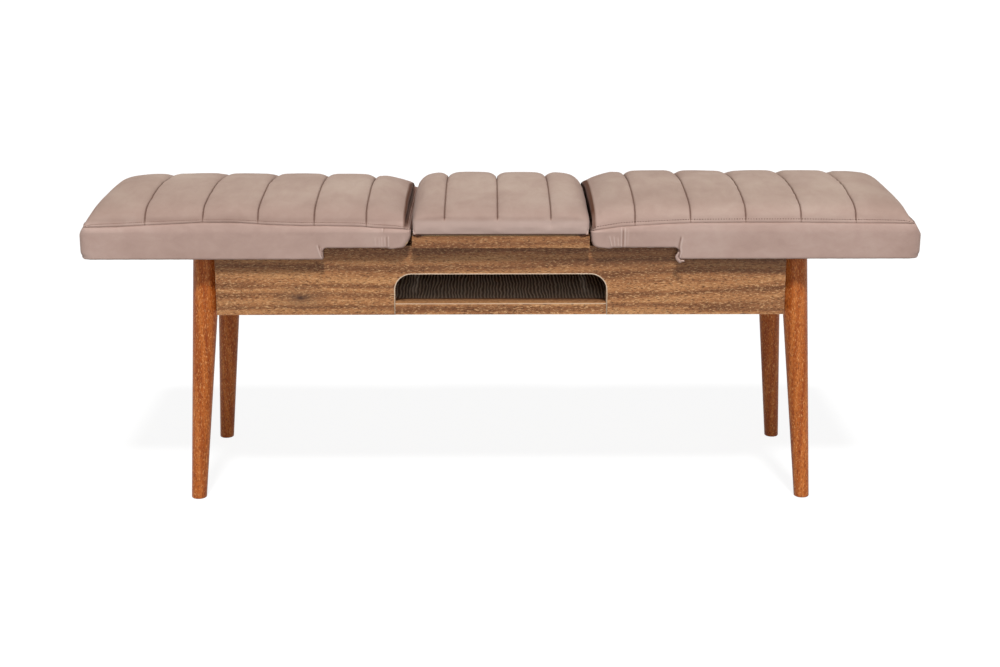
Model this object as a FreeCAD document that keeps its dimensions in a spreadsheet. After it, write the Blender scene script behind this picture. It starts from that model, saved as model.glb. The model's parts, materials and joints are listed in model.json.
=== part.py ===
"""Extending upholstered bench, shown pulled out with its leaf in place.

Millimetres. The origin lies on the floor under the middle of the bench, +Z is up and the
front faces -Y. Pieces are drawn once at the right and at the rear, and mirrored.
"""
import FreeCAD
import Part
import Sketcher
import math
import os

os.makedirs("parts", exist_ok=True)
doc = FreeCAD.newDocument("ExtendingBench")

# Driving dimensions
DIMENSIONS = (
    ("seat_depth", 360.0, "seat front to back, over the fabric"),
    ("half_length", 512.0, "one sliding half, end to end"),
    ("leaf_gap", 276.0, "gap that the leaf fills, twice the travel of a half"),
    ("leaf_play", 1.5, "gap between the leaf and each half"),
    ("board_thickness", 18.0, "seat boards and leaf board"),
    ("fabric_thickness", 2.5, "cover with its wadding"),
    ("outer_corner_radius", 20.0, "corners of a half at its outer end, in plan"),
    ("inner_corner_radius", 8.0, "corners of a half next to the leaf, in plan"),
    ("inner_end_round", 17.0, "lower edge of a seat board next to the leaf"),
    ("leaf_set_back", 2.0, "leaf board behind the cushion's face"),
    ("skirt_drop", 18.0, "height of the skirt battens under the board"),
    ("skirt_thickness", 12.0, "skirt battens"),
    ("skirt_clearance", 3.5, "skirt batten to apron"),
    ("skirt_start", 138.0, "inner end of a half to the inner end of its skirt"),
    ("border_rise", 20.5, "board top up to the border seam"),
    ("seam_draw", 1.5, "border seam drawn in behind the widest line"),
    ("band_bulge", 1.0, "border band's belly"),
    ("crown_rise", 38.0, "border seam up to the crown of a channel"),
    ("cap_depth", 20.0, "rounded end of the padding, along the bench"),
    ("knee_rise", 14.5, "border seam up to where the rounded edge meets the crown"),
    ("knee_inset", 8.0, "rounded edge, in from the widest line"),
    ("inner_dip", 9.0, "border seam drawn down next to the leaf"),
    ("channel_sink", 4.0, "sewn seam below the crown of its channels"),
    ("inner_channel", 68.0, "channel next to the leaf"),
    ("channel_pitch", 85.0, "the other channels of a half"),
    ("leaf_channel_pitch", 81.5, "middle channels of the leaf"),
    ("leaf_channel_shift", -3.5, "leaf channels off the middle"),
    ("leg_clearance", 306.0, "floor to the underside of the frame"),
    ("apron_height", 110.0, "front and rear apron"),
    ("apron_thickness", 18.0, "front and rear apron"),
    ("apron_length", 886.0, "front and rear apron"),
    ("end_thickness", 18.0, "end panels"),
    ("end_projection", 3.0, "end panel proud of the apron ends"),
    ("slide_space", 20.0, "end panel top below the apron top, where the runners pass"),
    ("running_gap", 1.0, "apron top to the underside of a half"),
    ("cutout_width", 330.0, "opening in the front apron"),
    ("cutout_height", 65.0, "opening in the front apron"),
    ("cutout_radius", 26.0, "upper corners of the opening"),
    ("floor_thickness", 18.0, "floor panel"),
    ("tongue_gap", 0.5, "floor tongue to each side of the opening"),
    ("tongue_set_back", 1.0, "floor tongue behind the apron face"),
    ("block_size", 30.0, "corner blocks, square in plan"),
    ("leg_splay", 5.4, "lean of a leg towards its own corner, in degrees"),
    ("foot_offset_x", 40.5, "foot centre beyond the end panel"),
    ("foot_offset_y", 10.5, "foot centre in from the apron's face"),
    ("foot_diameter", 24.0, "leg at the floor"),
    ("leg_top_diameter", 43.4, "leg at its top, before the flat is cut"),
    ("leg_top_gap", 2.0, "leg top below the end panel top"),
    ("foot_rounding", 2.0, "edge of the foot"),
    ("bolt_diameter", 8.0, "leg bolts"),
    ("bolt_reach", 22.0, "leg bolt inside the leg"),
    ("bolt_head_diameter", 13.0, "leg bolts"),
    ("bolt_head_height", 5.0, "leg bolts"),
    ("bolt_low", 30.0, "lower leg bolt above the frame underside"),
    ("bolt_high", 72.0, "upper leg bolt above the frame underside"),
    ("washer_diameter", 20.0, "under the leg bolt heads"),
    ("washer_thickness", 1.6, "under the leg bolt heads"),
    ("bore_clearance", 0.1, "fastener to its hole, across the diameter"),
    ("dowel_diameter", 8.0, "wooden dowels"),
    ("dowel_in_end", 15.0, "dowel inside the panel's edge"),
    ("dowel_in_face", 11.0, "dowel inside the panel that it meets"),
    ("dowel_inset", 8.0, "corner dowel outside the end panel's inner face"),
    ("dowel_low", 12.0, "lower corner dowel above the frame underside"),
    ("dowel_high", 51.0, "upper corner dowel above the frame underside"),
    ("floor_dowel_spacing", 80.0, "dowels along each end of the floor panel"),
    ("slide_height", 17.0, "fixed member of a slide"),
    ("slide_depth", 9.0, "fixed member of a slide, out from the apron"),
    ("slide_wall", 1.2, "steel of both members"),
    ("slide_length", 290.0, "moving member"),
    ("slide_start", 12.0, "inner end of a half to the fixed member"),
    ("slide_end", 3.0, "fixed member to the end of the apron"),
    ("slide_drop", 1.0, "fixed member below the apron top"),
    ("rail_depth", 7.0, "moving member, out from the runner"),
    ("ball_diameter", 3.2, "bearing balls"),
    ("ball_clearance", 0.05, "ball to each track"),
    ("ball_pitch", 12.0, "balls along a cage"),
    ("ball_line", 5.7, "ball centres from the apron's inner face"),
    ("cage_length", 120.0, "ball cage"),
    ("cage_wall", 0.6, "ball cage"),
    ("cage_start", 16.0, "start of the moving member to the cage"),
    ("cage_gap", 0.6, "ball cage to the fixed member's web"),
    ("runner_width", 20.0, "runner battens under a half"),
    ("runner_height", 18.0, "runner battens under a half"),
    ("runner_length", 418.0, "runner battens under a half"),
    ("runner_start", 22.0, "inner end of a half to its runners"),
    ("runner_play", 1.0, "runner to the fixed member of its slide"),
    ("screw_diameter", 4.0, "wood screws"),
    ("screw_length", 28.0, "wood screws through battens"),
    ("screw_head_diameter", 8.0, "wood screws"),
    ("screw_head_height", 2.0, "wood screws"),
    ("screw_inset", 20.0, "outermost screws to the end of a batten"),
    ("slide_screw_diameter", 3.0, "screws of the slides"),
    ("slide_screw_length", 12.0, "screws of the slides"),
    ("slide_screw_head", 5.0, "screws of the slides"),
    ("slide_screw_head_height", 1.4, "screws of the slides"),
    ("slide_screw_inset", 15.0, "first fixed member screw"),
    ("slide_screw_step", 40.0, "first to second fixed member screw"),
    ("slide_screw_end", 4.0, "last fixed member screw to its end"),
    ("rail_screw_inset", 30.0, "outermost moving member screws"),
    ("cleat_width", 18.0, "locating cleats under the leaf"),
    ("cleat_height", 18.0, "locating cleats under the leaf"),
    ("cleat_inset", 20.0, "locating cleat to the end of the leaf board"),
    ("cleat_play", 0.5, "locating cleat to each apron"),
    ("cleat_screw_offset", 100.0, "cleat screws from the middle plane"),
    ("base_thickness", 9.0, "plywood base of the leaf cushion"),
    ("base_margin", 6.0, "plywood base inside the leaf board's outline"),
    ("leaf_screw_x", 60.0, "leaf cushion screws from the middle"),
    ("leaf_screw_y", 120.0, "leaf cushion screws from the middle"),
    ("leaf_screw_length", 24.0, "leaf cushion screws"),
)
sheet = doc.addObject("Spreadsheet::Sheet", "Sizes")
for row, (alias, number, meaning) in enumerate(DIMENSIONS, start=1):
    sheet.set(f"A{row}", meaning)
    sheet.set(f"B{row}", str(number))
    sheet.setAlias(f"B{row}", alias)
doc.recompute()

# Levels above the floor, as expressions of the sheet
FRAME_BOTTOM = "Sizes.leg_clearance"
FLOOR_TOP = f"({FRAME_BOTTOM} + Sizes.floor_thickness)"
APRON_TOP = f"({FRAME_BOTTOM} + Sizes.apron_height)"
END_TOP = f"({APRON_TOP} - Sizes.slide_space)"
LEG_TOP = f"({END_TOP} - Sizes.leg_top_gap)"
LEAF_BOTTOM = APRON_TOP
LEAF_TOP = f"({LEAF_BOTTOM} + Sizes.board_thickness)"
BOARD_BOTTOM = f"({APRON_TOP} + Sizes.running_gap)"
BOARD_TOP = f"({BOARD_BOTTOM} + Sizes.board_thickness)"
SKIRT_BOTTOM = f"({BOARD_BOTTOM} - Sizes.skirt_drop)"
RUNNER_BOTTOM = f"({BOARD_BOTTOM} - Sizes.runner_height)"
CLEAT_BOTTOM = f"({LEAF_BOTTOM} - Sizes.cleat_height)"
SLIDE_TOP = f"({APRON_TOP} - Sizes.slide_drop)"
SLIDE_BOTTOM = f"({SLIDE_TOP} - Sizes.slide_height)"
SLIDE_MIDDLE = f"({SLIDE_TOP} - Sizes.slide_height / 2)"

# Distances from the middle plane, front to back
SEAT_FACE = "(Sizes.seat_depth / 2)"
BOARD_FACE = f"({SEAT_FACE} - Sizes.fabric_thickness)"
SKIRT_BACK = f"({BOARD_FACE} - Sizes.skirt_thickness)"
APRON_FACE = f"({SKIRT_BACK} - Sizes.skirt_clearance)"
APRON_BACK = f"({APRON_FACE} - Sizes.apron_thickness)"
SLIDE_EDGE = f"({APRON_BACK} - Sizes.slide_depth)"
RUNNER_FACE = f"({SLIDE_EDGE} - Sizes.runner_play)"
RUNNER_BACK = f"({RUNNER_FACE} - Sizes.runner_width)"
RUNNER_MIDDLE = f"({RUNNER_FACE} - Sizes.runner_width / 2)"
LEAF_FACE = f"({SEAT_FACE} - Sizes.leaf_set_back)"

# Distances from the middle of the bench, along its length
INNER_END = "(Sizes.leaf_gap / 2)"
OUTER_END = f"({INNER_END} + Sizes.half_length)"
BOARD_START = f"({INNER_END} + Sizes.fabric_thickness)"
BOARD_END = f"({OUTER_END} - Sizes.fabric_thickness)"
SKIRT_START = f"({INNER_END} + Sizes.skirt_start)"
RUNNER_START = f"({INNER_END} + Sizes.runner_start)"
RUNNER_END = f"({RUNNER_START} + Sizes.runner_length)"
LEAF_END = f"({INNER_END} - Sizes.leaf_play)"
APRON_END = "(Sizes.apron_length / 2)"
PANEL_FACE = f"({APRON_END} + Sizes.end_projection)"
PANEL_BACK = f"({PANEL_FACE} - Sizes.end_thickness)"
BLOCK_BACK = f"({PANEL_BACK} - Sizes.block_size)"
SLIDE_START = f"({INNER_END} + Sizes.slide_start)"
SLIDE_END = f"({APRON_END} - Sizes.slide_end)"
RAIL_END = RUNNER_END
RAIL_START = f"({RAIL_END} - Sizes.slide_length)"
CAGE_START = f"({RAIL_START} + Sizes.cage_start)"

PLAY = "Sizes.bore_clearance"
PAST = 1
SAME = 0.01

nodes = {}


def value(expression):
    """The number that an expression of the sheet stands for."""
    return float(sheet.evalExpression(expression))


def keep(name, part):
    """Name a finished piece: its label is its node's name."""
    part.Label = name
    nodes[name] = part
    return part


def place(part, x, y, z):
    """Tie a part's place to the sheet."""
    for axis, expression in zip("xyz", (x, y, z)):
        part.setExpression(f"Placement.Base.{axis}", expression)


def block(name, x, y, z):
    """Straight block between a low and a high plane on each axis."""
    part = doc.addObject("Part::Box", name)
    for side, (low, high) in zip(("Length", "Width", "Height"), (x, y, z)):
        part.setExpression(side, f"({high}) - ({low})")
    place(part, x[0], y[0], z[0])
    return part


def rod(name, start, axis, length, diameter):
    """Round rod that runs from its start along +X, +Y or +Z."""
    turns = {"x": ((0, 1, 0), 90), "y": ((1, 0, 0), -90), "z": ((0, 0, 1), 0)}
    part = doc.addObject("Part::Cylinder", name)
    part.Placement.Rotation = FreeCAD.Rotation(FreeCAD.Vector(*turns[axis][0]), turns[axis][1])
    part.setExpression("Radius", f"({diameter}) / 2")
    part.setExpression("Height", length)
    place(part, *start)
    return part


def group(name, parts):
    """Several parts handled as one."""
    compound = doc.addObject("Part::Compound", name)
    compound.Links = parts
    return compound


def cut(name, base, tools):
    """A base with every tool taken out of it."""
    result = doc.addObject("Part::Cut", name)
    result.Base = base
    result.Tool = tools[0] if len(tools) == 1 else group(f"{name}_tools", tools)
    return result


def fuse(name, parts):
    """Parts joined into one piece."""
    result = doc.addObject("Part::MultiFuse", name)
    result.Shapes = parts
    result.Refine = True
    return result


def common(name, base, tool):
    """What two parts share."""
    result = doc.addObject("Part::Common", name)
    result.Base = base
    result.Tool = tool
    return result


def mirror(name, source, normal):
    """A copy on the other side of the bench's middle plane."""
    copy = doc.addObject("Part::Mirroring", name)
    copy.Source = source
    copy.Normal = FreeCAD.Vector(*normal)
    return copy


ACROSS = (1, 0, 0)
FRONT_TO_BACK = (0, 1, 0)


def four_ways(name, source):
    """The part itself and its three mirror images, as one group."""
    front = mirror(f"{name}_front", source, FRONT_TO_BACK)
    pair = group(f"{name}_pair", [source, front])
    return group(name, [pair, mirror(f"{name}_left", pair, ACROSS)])


def plate(name, x, y, z):
    """Board with a sketched rectangular outline, lying flat."""
    body = doc.addObject("PartDesign::Body", name)
    outline = body.newObject("Sketcher::SketchObject", f"{name}_outline")
    plane = next(item for item in body.Origin.OriginFeatures if item.Role == "XY_Plane")
    outline.AttachmentSupport = [(plane, "")]
    outline.MapMode = "FlatFace"
    spans = [f"({high}) - ({low})" for low, high in (x, y, z)]
    length = value(spans[0])
    width = value(spans[1])
    corners = [FreeCAD.Vector(*c) for c in ((0, 0), (length, 0), (length, width), (0, width))]
    for index in range(4):
        outline.addGeometry(Part.LineSegment(corners[index], corners[(index + 1) % 4]), False)
    for index in range(4):
        outline.addConstraint(Sketcher.Constraint("Coincident", index, 2, (index + 1) % 4, 1))
    for index, direction in enumerate(("Horizontal", "Vertical", "Horizontal", "Vertical")):
        outline.addConstraint(Sketcher.Constraint(direction, index))
    outline.addConstraint(Sketcher.Constraint("Coincident", 0, 1, -1, 1))
    for line, span, number in ((0, spans[0], length), (1, spans[1], width)):
        constraint = outline.addConstraint(Sketcher.Constraint("Distance", line, number))
        outline.setExpression(f"Constraints[{constraint}]", span)
    pad = body.newObject("PartDesign::Pad", f"{name}_pad")
    pad.Profile = outline
    pad.setExpression("Length", spans[2])
    place(body, x[0], y[0], z[0])
    doc.recompute()
    return body


def round_edges(body, radius, chosen):
    """Fillet the body's edges that the test picks, by a radius of the sheet."""
    base = body.Tip
    names = [f"Edge{i}" for i, edge in enumerate(base.Shape.Edges, start=1) if chosen(edge)]
    fillet = body.newObject("PartDesign::Fillet", f"{body.Name}_round")
    fillet.Base = (base, names)
    fillet.setExpression("Radius", radius)
    body.Tip = fillet
    doc.recompute()


def upright_at(body, high_end):
    """A test for upright edges at the high or the low end of a body along X."""
    box = body.Tip.Shape.BoundBox
    wanted = box.XMax if high_end else box.XMin

    def test(edge):
        bounds = edge.BoundBox
        return bounds.ZLength > box.ZLength / 2 and abs(bounds.Center.x - wanted) < SAME

    return test


def rounded_plate(name, x, y, z, low_radius, high_radius):
    """Plate with its upright corners rounded, by one radius at each end along X."""
    body = plate(name, x, y, z)
    round_edges(body, low_radius, upright_at(body, False))
    round_edges(body, high_radius, upright_at(body, True))
    return body


def both(expression):
    """The span from one side of a middle plane to the other."""
    return (f"-{expression}", expression)


def wood_screw(name, x, y, z, length):
    """Screw driven upwards, and the hole with a sunk head that it needs."""
    shank = rod(f"{name}_shank", (x, y, z), "z", length, "Sizes.screw_diameter")
    head = rod(f"{name}_head", (x, y, z), "z", "Sizes.screw_head_height",
               "Sizes.screw_head_diameter")
    screw = fuse(name, [shank, head])
    shaft = rod(f"{name}_bore", (x, y, f"({z}) - {PLAY}"), "z", f"({length}) + 2 * {PLAY}",
                f"Sizes.screw_diameter + {PLAY}")
    sink = rod(f"{name}_sink", (x, y, f"({z}) - {PLAY}"), "z",
               f"Sizes.screw_head_height + 2 * {PLAY}", f"Sizes.screw_head_diameter + {PLAY}")
    return screw, group(f"{name}_hole", [shaft, sink])


def slide_screw(name, x, y, z, driven):
    """Small screw with its head on the plane y, driven along Y, and the hole that it needs."""
    rise = "Sizes.slide_screw_head_height"
    reach = "Sizes.slide_screw_length"
    head_start = {1: f"({y}) - {rise}", -1: y}[driven]
    shank_start = {1: head_start, -1: f"({y}) - {reach}"}[driven]
    bore_start = {1: f"({y}) - {PLAY}", -1: f"({y}) - {reach} - {PLAY}"}[driven]
    shank = rod(f"{name}_shank", (x, shank_start, z), "y", f"{reach} + {rise}",
                "Sizes.slide_screw_diameter")
    head = rod(f"{name}_head", (x, head_start, z), "y", rise, "Sizes.slide_screw_head")
    bore = rod(f"{name}_bore", (x, bore_start, z), "y", f"{reach} + 2 * {PLAY}",
               f"Sizes.slide_screw_diameter + {PLAY}")
    return fuse(name, [shank, head]), bore


# Leg, leaning out to its own corner, with a flat against the end panel
def leg_lean(level):
    """How far the leg's axis has moved in, along X and along Y, at a level."""
    return f"(({level}) * tan(Sizes.leg_splay * 1 deg) / sqrt(2))"


FOOT_X = f"({PANEL_FACE} + Sizes.foot_offset_x)"
FOOT_Y = f"({APRON_FACE} - Sizes.foot_offset_y)"
SPARE = "(Sizes.leg_top_diameter / 3)"
LEG_AXIS = f"({LEG_TOP} / cos(Sizes.leg_splay * 1 deg))"
LEG_TAPER = f"((Sizes.leg_top_diameter - Sizes.foot_diameter) / 2 / {LEG_AXIS})"


def turned_leg():
    """Tapered leg at the rear right corner, cut level at both ends."""
    cone = doc.addObject("Part::Cone", "leg_cone")
    cone.setExpression("Radius1", f"Sizes.foot_diameter / 2 - {SPARE} * {LEG_TAPER}")
    cone.setExpression("Radius2", f"Sizes.leg_top_diameter / 2 + {SPARE} * {LEG_TAPER}")
    cone.setExpression("Height", f"{LEG_AXIS} + 2 * {SPARE}")
    cone.Placement.Rotation = FreeCAD.Rotation(FreeCAD.Vector(1, -1, 0), 1)
    cone.setExpression("Placement.Rotation.Angle", "Sizes.leg_splay")
    below = f"(-{SPARE} * cos(Sizes.leg_splay * 1 deg))"
    place(cone, f"{FOOT_X} - {leg_lean(below)}", f"{FOOT_Y} - {leg_lean(below)}", below)
    room = block("leg_room", (PANEL_FACE, f"{FOOT_X} + Sizes.leg_top_diameter"),
                 (f"{FOOT_Y} - 2 * Sizes.leg_top_diameter", f"{FOOT_Y} + Sizes.leg_top_diameter"),
                 ("0", LEG_TOP))
    trimmed = common("leg_trimmed", cone, room)
    doc.recompute()
    foot = doc.addObject("Part::Fillet", "leg_rounded")
    foot.Base = trimmed
    rounding = value("Sizes.foot_rounding")
    foot.Edges = [(i, rounding, rounding) for i, edge in enumerate(trimmed.Shape.Edges, start=1)
                  if edge.BoundBox.ZMax < SAME]
    return foot


leg = turned_leg()
bolts = []
washers = []
bolt_bores = []
for level_name in ("low", "high"):
    level = f"({FRAME_BOTTOM} + Sizes.bolt_{level_name})"
    bolt_y = f"({FOOT_Y} - {leg_lean(level)})"
    under_head = f"({BLOCK_BACK} - Sizes.washer_thickness)"
    grip = f"({PANEL_FACE} + Sizes.bolt_reach - {under_head})"
    shank = rod(f"bolt_{level_name}_shank", (under_head, bolt_y, level), "x", grip,
                "Sizes.bolt_diameter")
    head = rod(f"bolt_{level_name}_head", (f"{under_head} - Sizes.bolt_head_height", bolt_y,
               level), "x", "Sizes.bolt_head_height", "Sizes.bolt_head_diameter")
    bolts.append(fuse(f"bolt_{level_name}", [head, shank]))
    bore = rod(f"bolt_{level_name}_bore", (under_head, bolt_y, level), "x",
               f"{grip} + {PLAY}", f"Sizes.bolt_diameter + {PLAY}")
    disc = rod(f"washer_{level_name}_disc", (under_head, bolt_y, level), "x",
               "Sizes.washer_thickness", "Sizes.washer_diameter")
    washers.append(cut(f"washer_{level_name}", disc, [bore]))
    bolt_bores.append(bore)
leg_bored = cut("leg_bored", leg, bolt_bores)
leg_right = mirror("leg_front_right", leg_bored, FRONT_TO_BACK)
keep("rear_right_leg", leg_bored)
keep("front_right_leg", leg_right)
keep("rear_left_leg", mirror("leg_rear_left", leg_bored, ACROSS))
keep("front_left_leg", mirror("leg_front_left", leg_right, ACROSS))
keep("leg_bolts", four_ways("bolts", group("corner_bolts", bolts)))
keep("leg_washers", four_ways("washers", group("corner_washers", washers)))

# Dowels at the corners and along the floor's ends
corner_dowels = []
corner_sockets = []
dowel_x = f"({PANEL_BACK} + Sizes.dowel_inset)"
dowel_y = f"({APRON_BACK} - Sizes.dowel_in_end)"
dowel_length = "(Sizes.dowel_in_end + Sizes.dowel_in_face)"
for level_name in ("low", "high"):
    level = f"({FRAME_BOTTOM} + Sizes.dowel_{level_name})"
    corner_dowels.append(rod(f"dowel_{level_name}", (dowel_x, dowel_y, level), "y",
                             dowel_length, "Sizes.dowel_diameter"))
    corner_sockets.append(rod(f"socket_{level_name}", (dowel_x, f"{dowel_y} - {PLAY}", level),
                              "y", f"{dowel_length} + 2 * {PLAY}",
                              f"Sizes.dowel_diameter + {PLAY}"))
sockets = four_ways("corner_sockets", group("corner_socket_pair", corner_sockets))
keep("corner_dowels", four_ways("dowels", group("corner_dowel_pair", corner_dowels)))

floor_dowels = []
floor_sockets = []
floor_dowel_x = f"({PANEL_BACK} - Sizes.dowel_in_end)"
floor_dowel_z = f"({FRAME_BOTTOM} + Sizes.floor_thickness / 2)"
for step in (-1, 0, 1):
    across = f"{step} * Sizes.floor_dowel_spacing"
    floor_dowels.append(rod(f"floor_dowel_{step + 1}", (floor_dowel_x, across, floor_dowel_z),
                            "x", dowel_length, "Sizes.dowel_diameter"))
    floor_sockets.append(rod(f"floor_socket_{step + 1}",
                             (f"{floor_dowel_x} - {PLAY}", across, floor_dowel_z), "x",
                             f"{dowel_length} + 2 * {PLAY}", f"Sizes.dowel_diameter + {PLAY}"))
right_floor_dowels = group("right_floor_dowels", floor_dowels)
right_floor_sockets = group("right_floor_sockets", floor_sockets)
left_floor_sockets = mirror("left_floor_sockets", right_floor_sockets, ACROSS)
left_floor_dowels = mirror("left_floor_dowels", right_floor_dowels, ACROSS)
keep("floor_dowels", group("all_floor_dowels", [right_floor_dowels, left_floor_dowels]))

# Fixed members of the slides, screwed to the aprons
channel_whole = block("channel_whole", (SLIDE_START, SLIDE_END), (SLIDE_EDGE, APRON_BACK),
                      (SLIDE_BOTTOM, SLIDE_TOP))
WEB_FACE = f"({APRON_BACK} - Sizes.slide_wall)"
channel_room = block("channel_room", (f"{SLIDE_START} - {PAST}", f"{SLIDE_END} + {PAST}"),
                     (f"{SLIDE_EDGE} - {PAST}", WEB_FACE),
                     (f"{SLIDE_BOTTOM} + Sizes.slide_wall", f"{SLIDE_TOP} - Sizes.slide_wall"))
channel_screws = []
channel_bores = []
channel_screw_places = (
    f"{SLIDE_START} + Sizes.slide_screw_inset",
    f"{SLIDE_START} + Sizes.slide_screw_inset + Sizes.slide_screw_step",
    f"{SLIDE_END} - Sizes.slide_screw_end",
)
for index, screw_x in enumerate(channel_screw_places):
    screw, bore = slide_screw(f"channel_screw_{index}", screw_x, WEB_FACE, SLIDE_MIDDLE, 1)
    channel_screws.append(screw)
    channel_bores.append(bore)
channel = cut("channel", channel_whole, [channel_room] + channel_bores)
front_channel = mirror("channel_front", channel, FRONT_TO_BACK)
keep("right_rear_slide_channel", channel)
keep("right_front_slide_channel", front_channel)
keep("left_rear_slide_channel", mirror("channel_rear_left", channel, ACROSS))
keep("left_front_slide_channel", mirror("channel_front_left", front_channel, ACROSS))
keep("channel_screws", four_ways("channel_screw", group("channel_screw_set", channel_screws)))
channel_screw_bores = four_ways("channel_bore", group("channel_bore_set", channel_bores))

# Aprons, end panels, floor and corner blocks
rear_apron = plate("rear_apron_board", both(APRON_END), (APRON_BACK, APRON_FACE),
                   (FRAME_BOTTOM, APRON_TOP))
keep("rear_apron", cut("rear_apron_bored", rear_apron, [sockets, channel_screw_bores]))
front_apron = plate("front_apron_board", both(APRON_END), (f"-{APRON_FACE}", f"-{APRON_BACK}"),
                    (FRAME_BOTTOM, APRON_TOP))
HALF_CUTOUT = "(Sizes.cutout_width / 2)"
opening = plate("cutout", both(HALF_CUTOUT),
                (f"-{APRON_FACE} - {PAST}", f"-{APRON_BACK} + {PAST}"),
                (f"{FRAME_BOTTOM} - {PAST}", f"{FRAME_BOTTOM} + Sizes.cutout_height"))
opening_top = opening.Tip.Shape.BoundBox.ZMax
round_edges(opening, "Sizes.cutout_radius",
            lambda edge: edge.BoundBox.XLength < SAME and edge.BoundBox.ZMin > opening_top - SAME)
keep("front_apron", cut("front_apron_bored", front_apron,
                        [opening, sockets, channel_screw_bores]))

end_panel = plate("end_panel_board", (PANEL_BACK, PANEL_FACE), both(APRON_BACK),
                  (FRAME_BOTTOM, END_TOP))
rear_bolt_bores = group("rear_bolt_bores", bolt_bores)
front_bolt_bores = mirror("front_bolt_bores", rear_bolt_bores, FRONT_TO_BACK)
right_panel = cut("end_panel_bored", end_panel,
                  [rear_bolt_bores, front_bolt_bores, sockets, right_floor_sockets])
keep("right_end_panel", right_panel)
keep("left_end_panel", mirror("left_panel", right_panel, ACROSS))

floor_board = plate("floor_board", both(PANEL_BACK), both(APRON_BACK), (FRAME_BOTTOM, FLOOR_TOP))
TONGUE_HALF = f"({HALF_CUTOUT} - Sizes.tongue_gap)"
tongue = plate("floor_tongue", both(TONGUE_HALF),
               (f"-({APRON_FACE} - Sizes.tongue_set_back)", f"-{APRON_BACK} + {PAST}"),
               (FRAME_BOTTOM, FLOOR_TOP))
floor_whole = fuse("floor_whole", [floor_board, tongue])
keep("floor_panel", cut("floor_bored", floor_whole, [right_floor_sockets, left_floor_sockets]))

block_back_y = f"({APRON_BACK} - Sizes.block_size)"
corner_block = block("corner_block", (BLOCK_BACK, PANEL_BACK), (block_back_y, APRON_BACK),
                     (FLOOR_TOP, END_TOP))
keep("corner_blocks", four_ways("blocks", cut("block_bored", corner_block, [rear_bolt_bores])))

# Moving members and runners of the right half
track_gap = "(Sizes.ball_diameter + 2 * Sizes.ball_clearance)"
RAIL_TOP = f"({SLIDE_TOP} - Sizes.slide_wall - {track_gap})"
RAIL_BOTTOM = f"({SLIDE_BOTTOM} + Sizes.slide_wall + {track_gap})"
RAIL_FACE = f"({RUNNER_FACE} + Sizes.rail_depth)"
RAIL_WEB = f"({RUNNER_FACE} + Sizes.slide_wall)"
rail_whole = block("rail_whole", (RAIL_START, RAIL_END), (RUNNER_FACE, RAIL_FACE),
                   (RAIL_BOTTOM, RAIL_TOP))
rail_room = block("rail_room", (f"{RAIL_START} - {PAST}", f"{RAIL_END} + {PAST}"),
                  (RAIL_WEB, f"{RAIL_FACE} + {PAST}"),
                  (f"{RAIL_BOTTOM} + Sizes.slide_wall", f"{RAIL_TOP} - Sizes.slide_wall"))
rail_screws = []
rail_bores = []
rail_screw_places = (
    f"{RAIL_START} + Sizes.rail_screw_inset",
    f"({RAIL_START} + {RAIL_END}) / 2",
    f"{RAIL_END} - Sizes.rail_screw_inset",
)
for index, screw_x in enumerate(rail_screw_places):
    screw, bore = slide_screw(f"rail_screw_{index}", screw_x, RAIL_WEB, SLIDE_MIDDLE, -1)
    rail_screws.append(screw)
    rail_bores.append(bore)

runner_screws = []
runner_holes = []
runner_screw_places = (
    f"{RUNNER_START} + Sizes.screw_inset",
    f"({RUNNER_START} + {RUNNER_END}) / 2",
    f"{RUNNER_END} - Sizes.screw_inset",
)
for index, screw_x in enumerate(runner_screw_places):
    screw, hole = wood_screw(f"runner_screw_{index}", screw_x, RUNNER_MIDDLE, RUNNER_BOTTOM,
                             "Sizes.screw_length")
    runner_screws.append(screw)
    runner_holes.append(hole)

SKIRT_MIDDLE = f"({BOARD_FACE} - Sizes.skirt_thickness / 2)"
END_SKIRT_MIDDLE = f"({BOARD_END} - Sizes.skirt_thickness / 2)"
skirt_screws = []
skirt_holes = []
skirt_screw_places = (
    (f"{SKIRT_START} + Sizes.screw_inset", SKIRT_MIDDLE),
    (f"({SKIRT_START} + {BOARD_END}) / 2", SKIRT_MIDDLE),
    (f"{BOARD_END} - 2 * Sizes.screw_inset", SKIRT_MIDDLE),
    (END_SKIRT_MIDDLE, f"{SKIRT_BACK} / 2"),
)
for index, (screw_x, screw_y) in enumerate(skirt_screw_places):
    screw, hole = wood_screw(f"skirt_screw_{index}", screw_x, screw_y, SKIRT_BOTTOM,
                             "Sizes.screw_length")
    skirt_screws.append(screw)
    skirt_holes.append(hole)

rail = cut("rail", rail_whole, [rail_room] + rail_bores)
runner_block = block("runner_block", (RUNNER_START, RUNNER_END), (RUNNER_BACK, RUNNER_FACE),
                     (RUNNER_BOTTOM, BOARD_BOTTOM))
runner = cut("runner", runner_block, runner_holes + rail_bores)

# Skirt battens, cut from one ring that follows the board's edge
board_radius = "Sizes.outer_corner_radius - Sizes.fabric_thickness"
board_inner_radius = "Sizes.inner_corner_radius - Sizes.fabric_thickness"
ring_outside = rounded_plate("skirt_outside", (BOARD_START, BOARD_END), both(BOARD_FACE),
                             (SKIRT_BOTTOM, BOARD_BOTTOM), board_inner_radius, board_radius)
END_SKIRT_START = f"({BOARD_END} - Sizes.skirt_thickness)"
skirt_levels = (f"{SKIRT_BOTTOM} - {PAST}", f"{BOARD_BOTTOM} + {PAST}")
ring_room = block("skirt_room", (f"{BOARD_START} - {PAST}", END_SKIRT_START), both(SKIRT_BACK),
                  skirt_levels)
ring = cut("skirt_ring", ring_outside, [ring_room])
rear_side = block("rear_side", (SKIRT_START, f"{BOARD_END} + {PAST}"), (SKIRT_BACK, SEAT_FACE),
                  skirt_levels)
end_side = block("end_side", (END_SKIRT_START, f"{BOARD_END} + {PAST}"), both(SKIRT_BACK),
                 skirt_levels)
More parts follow.
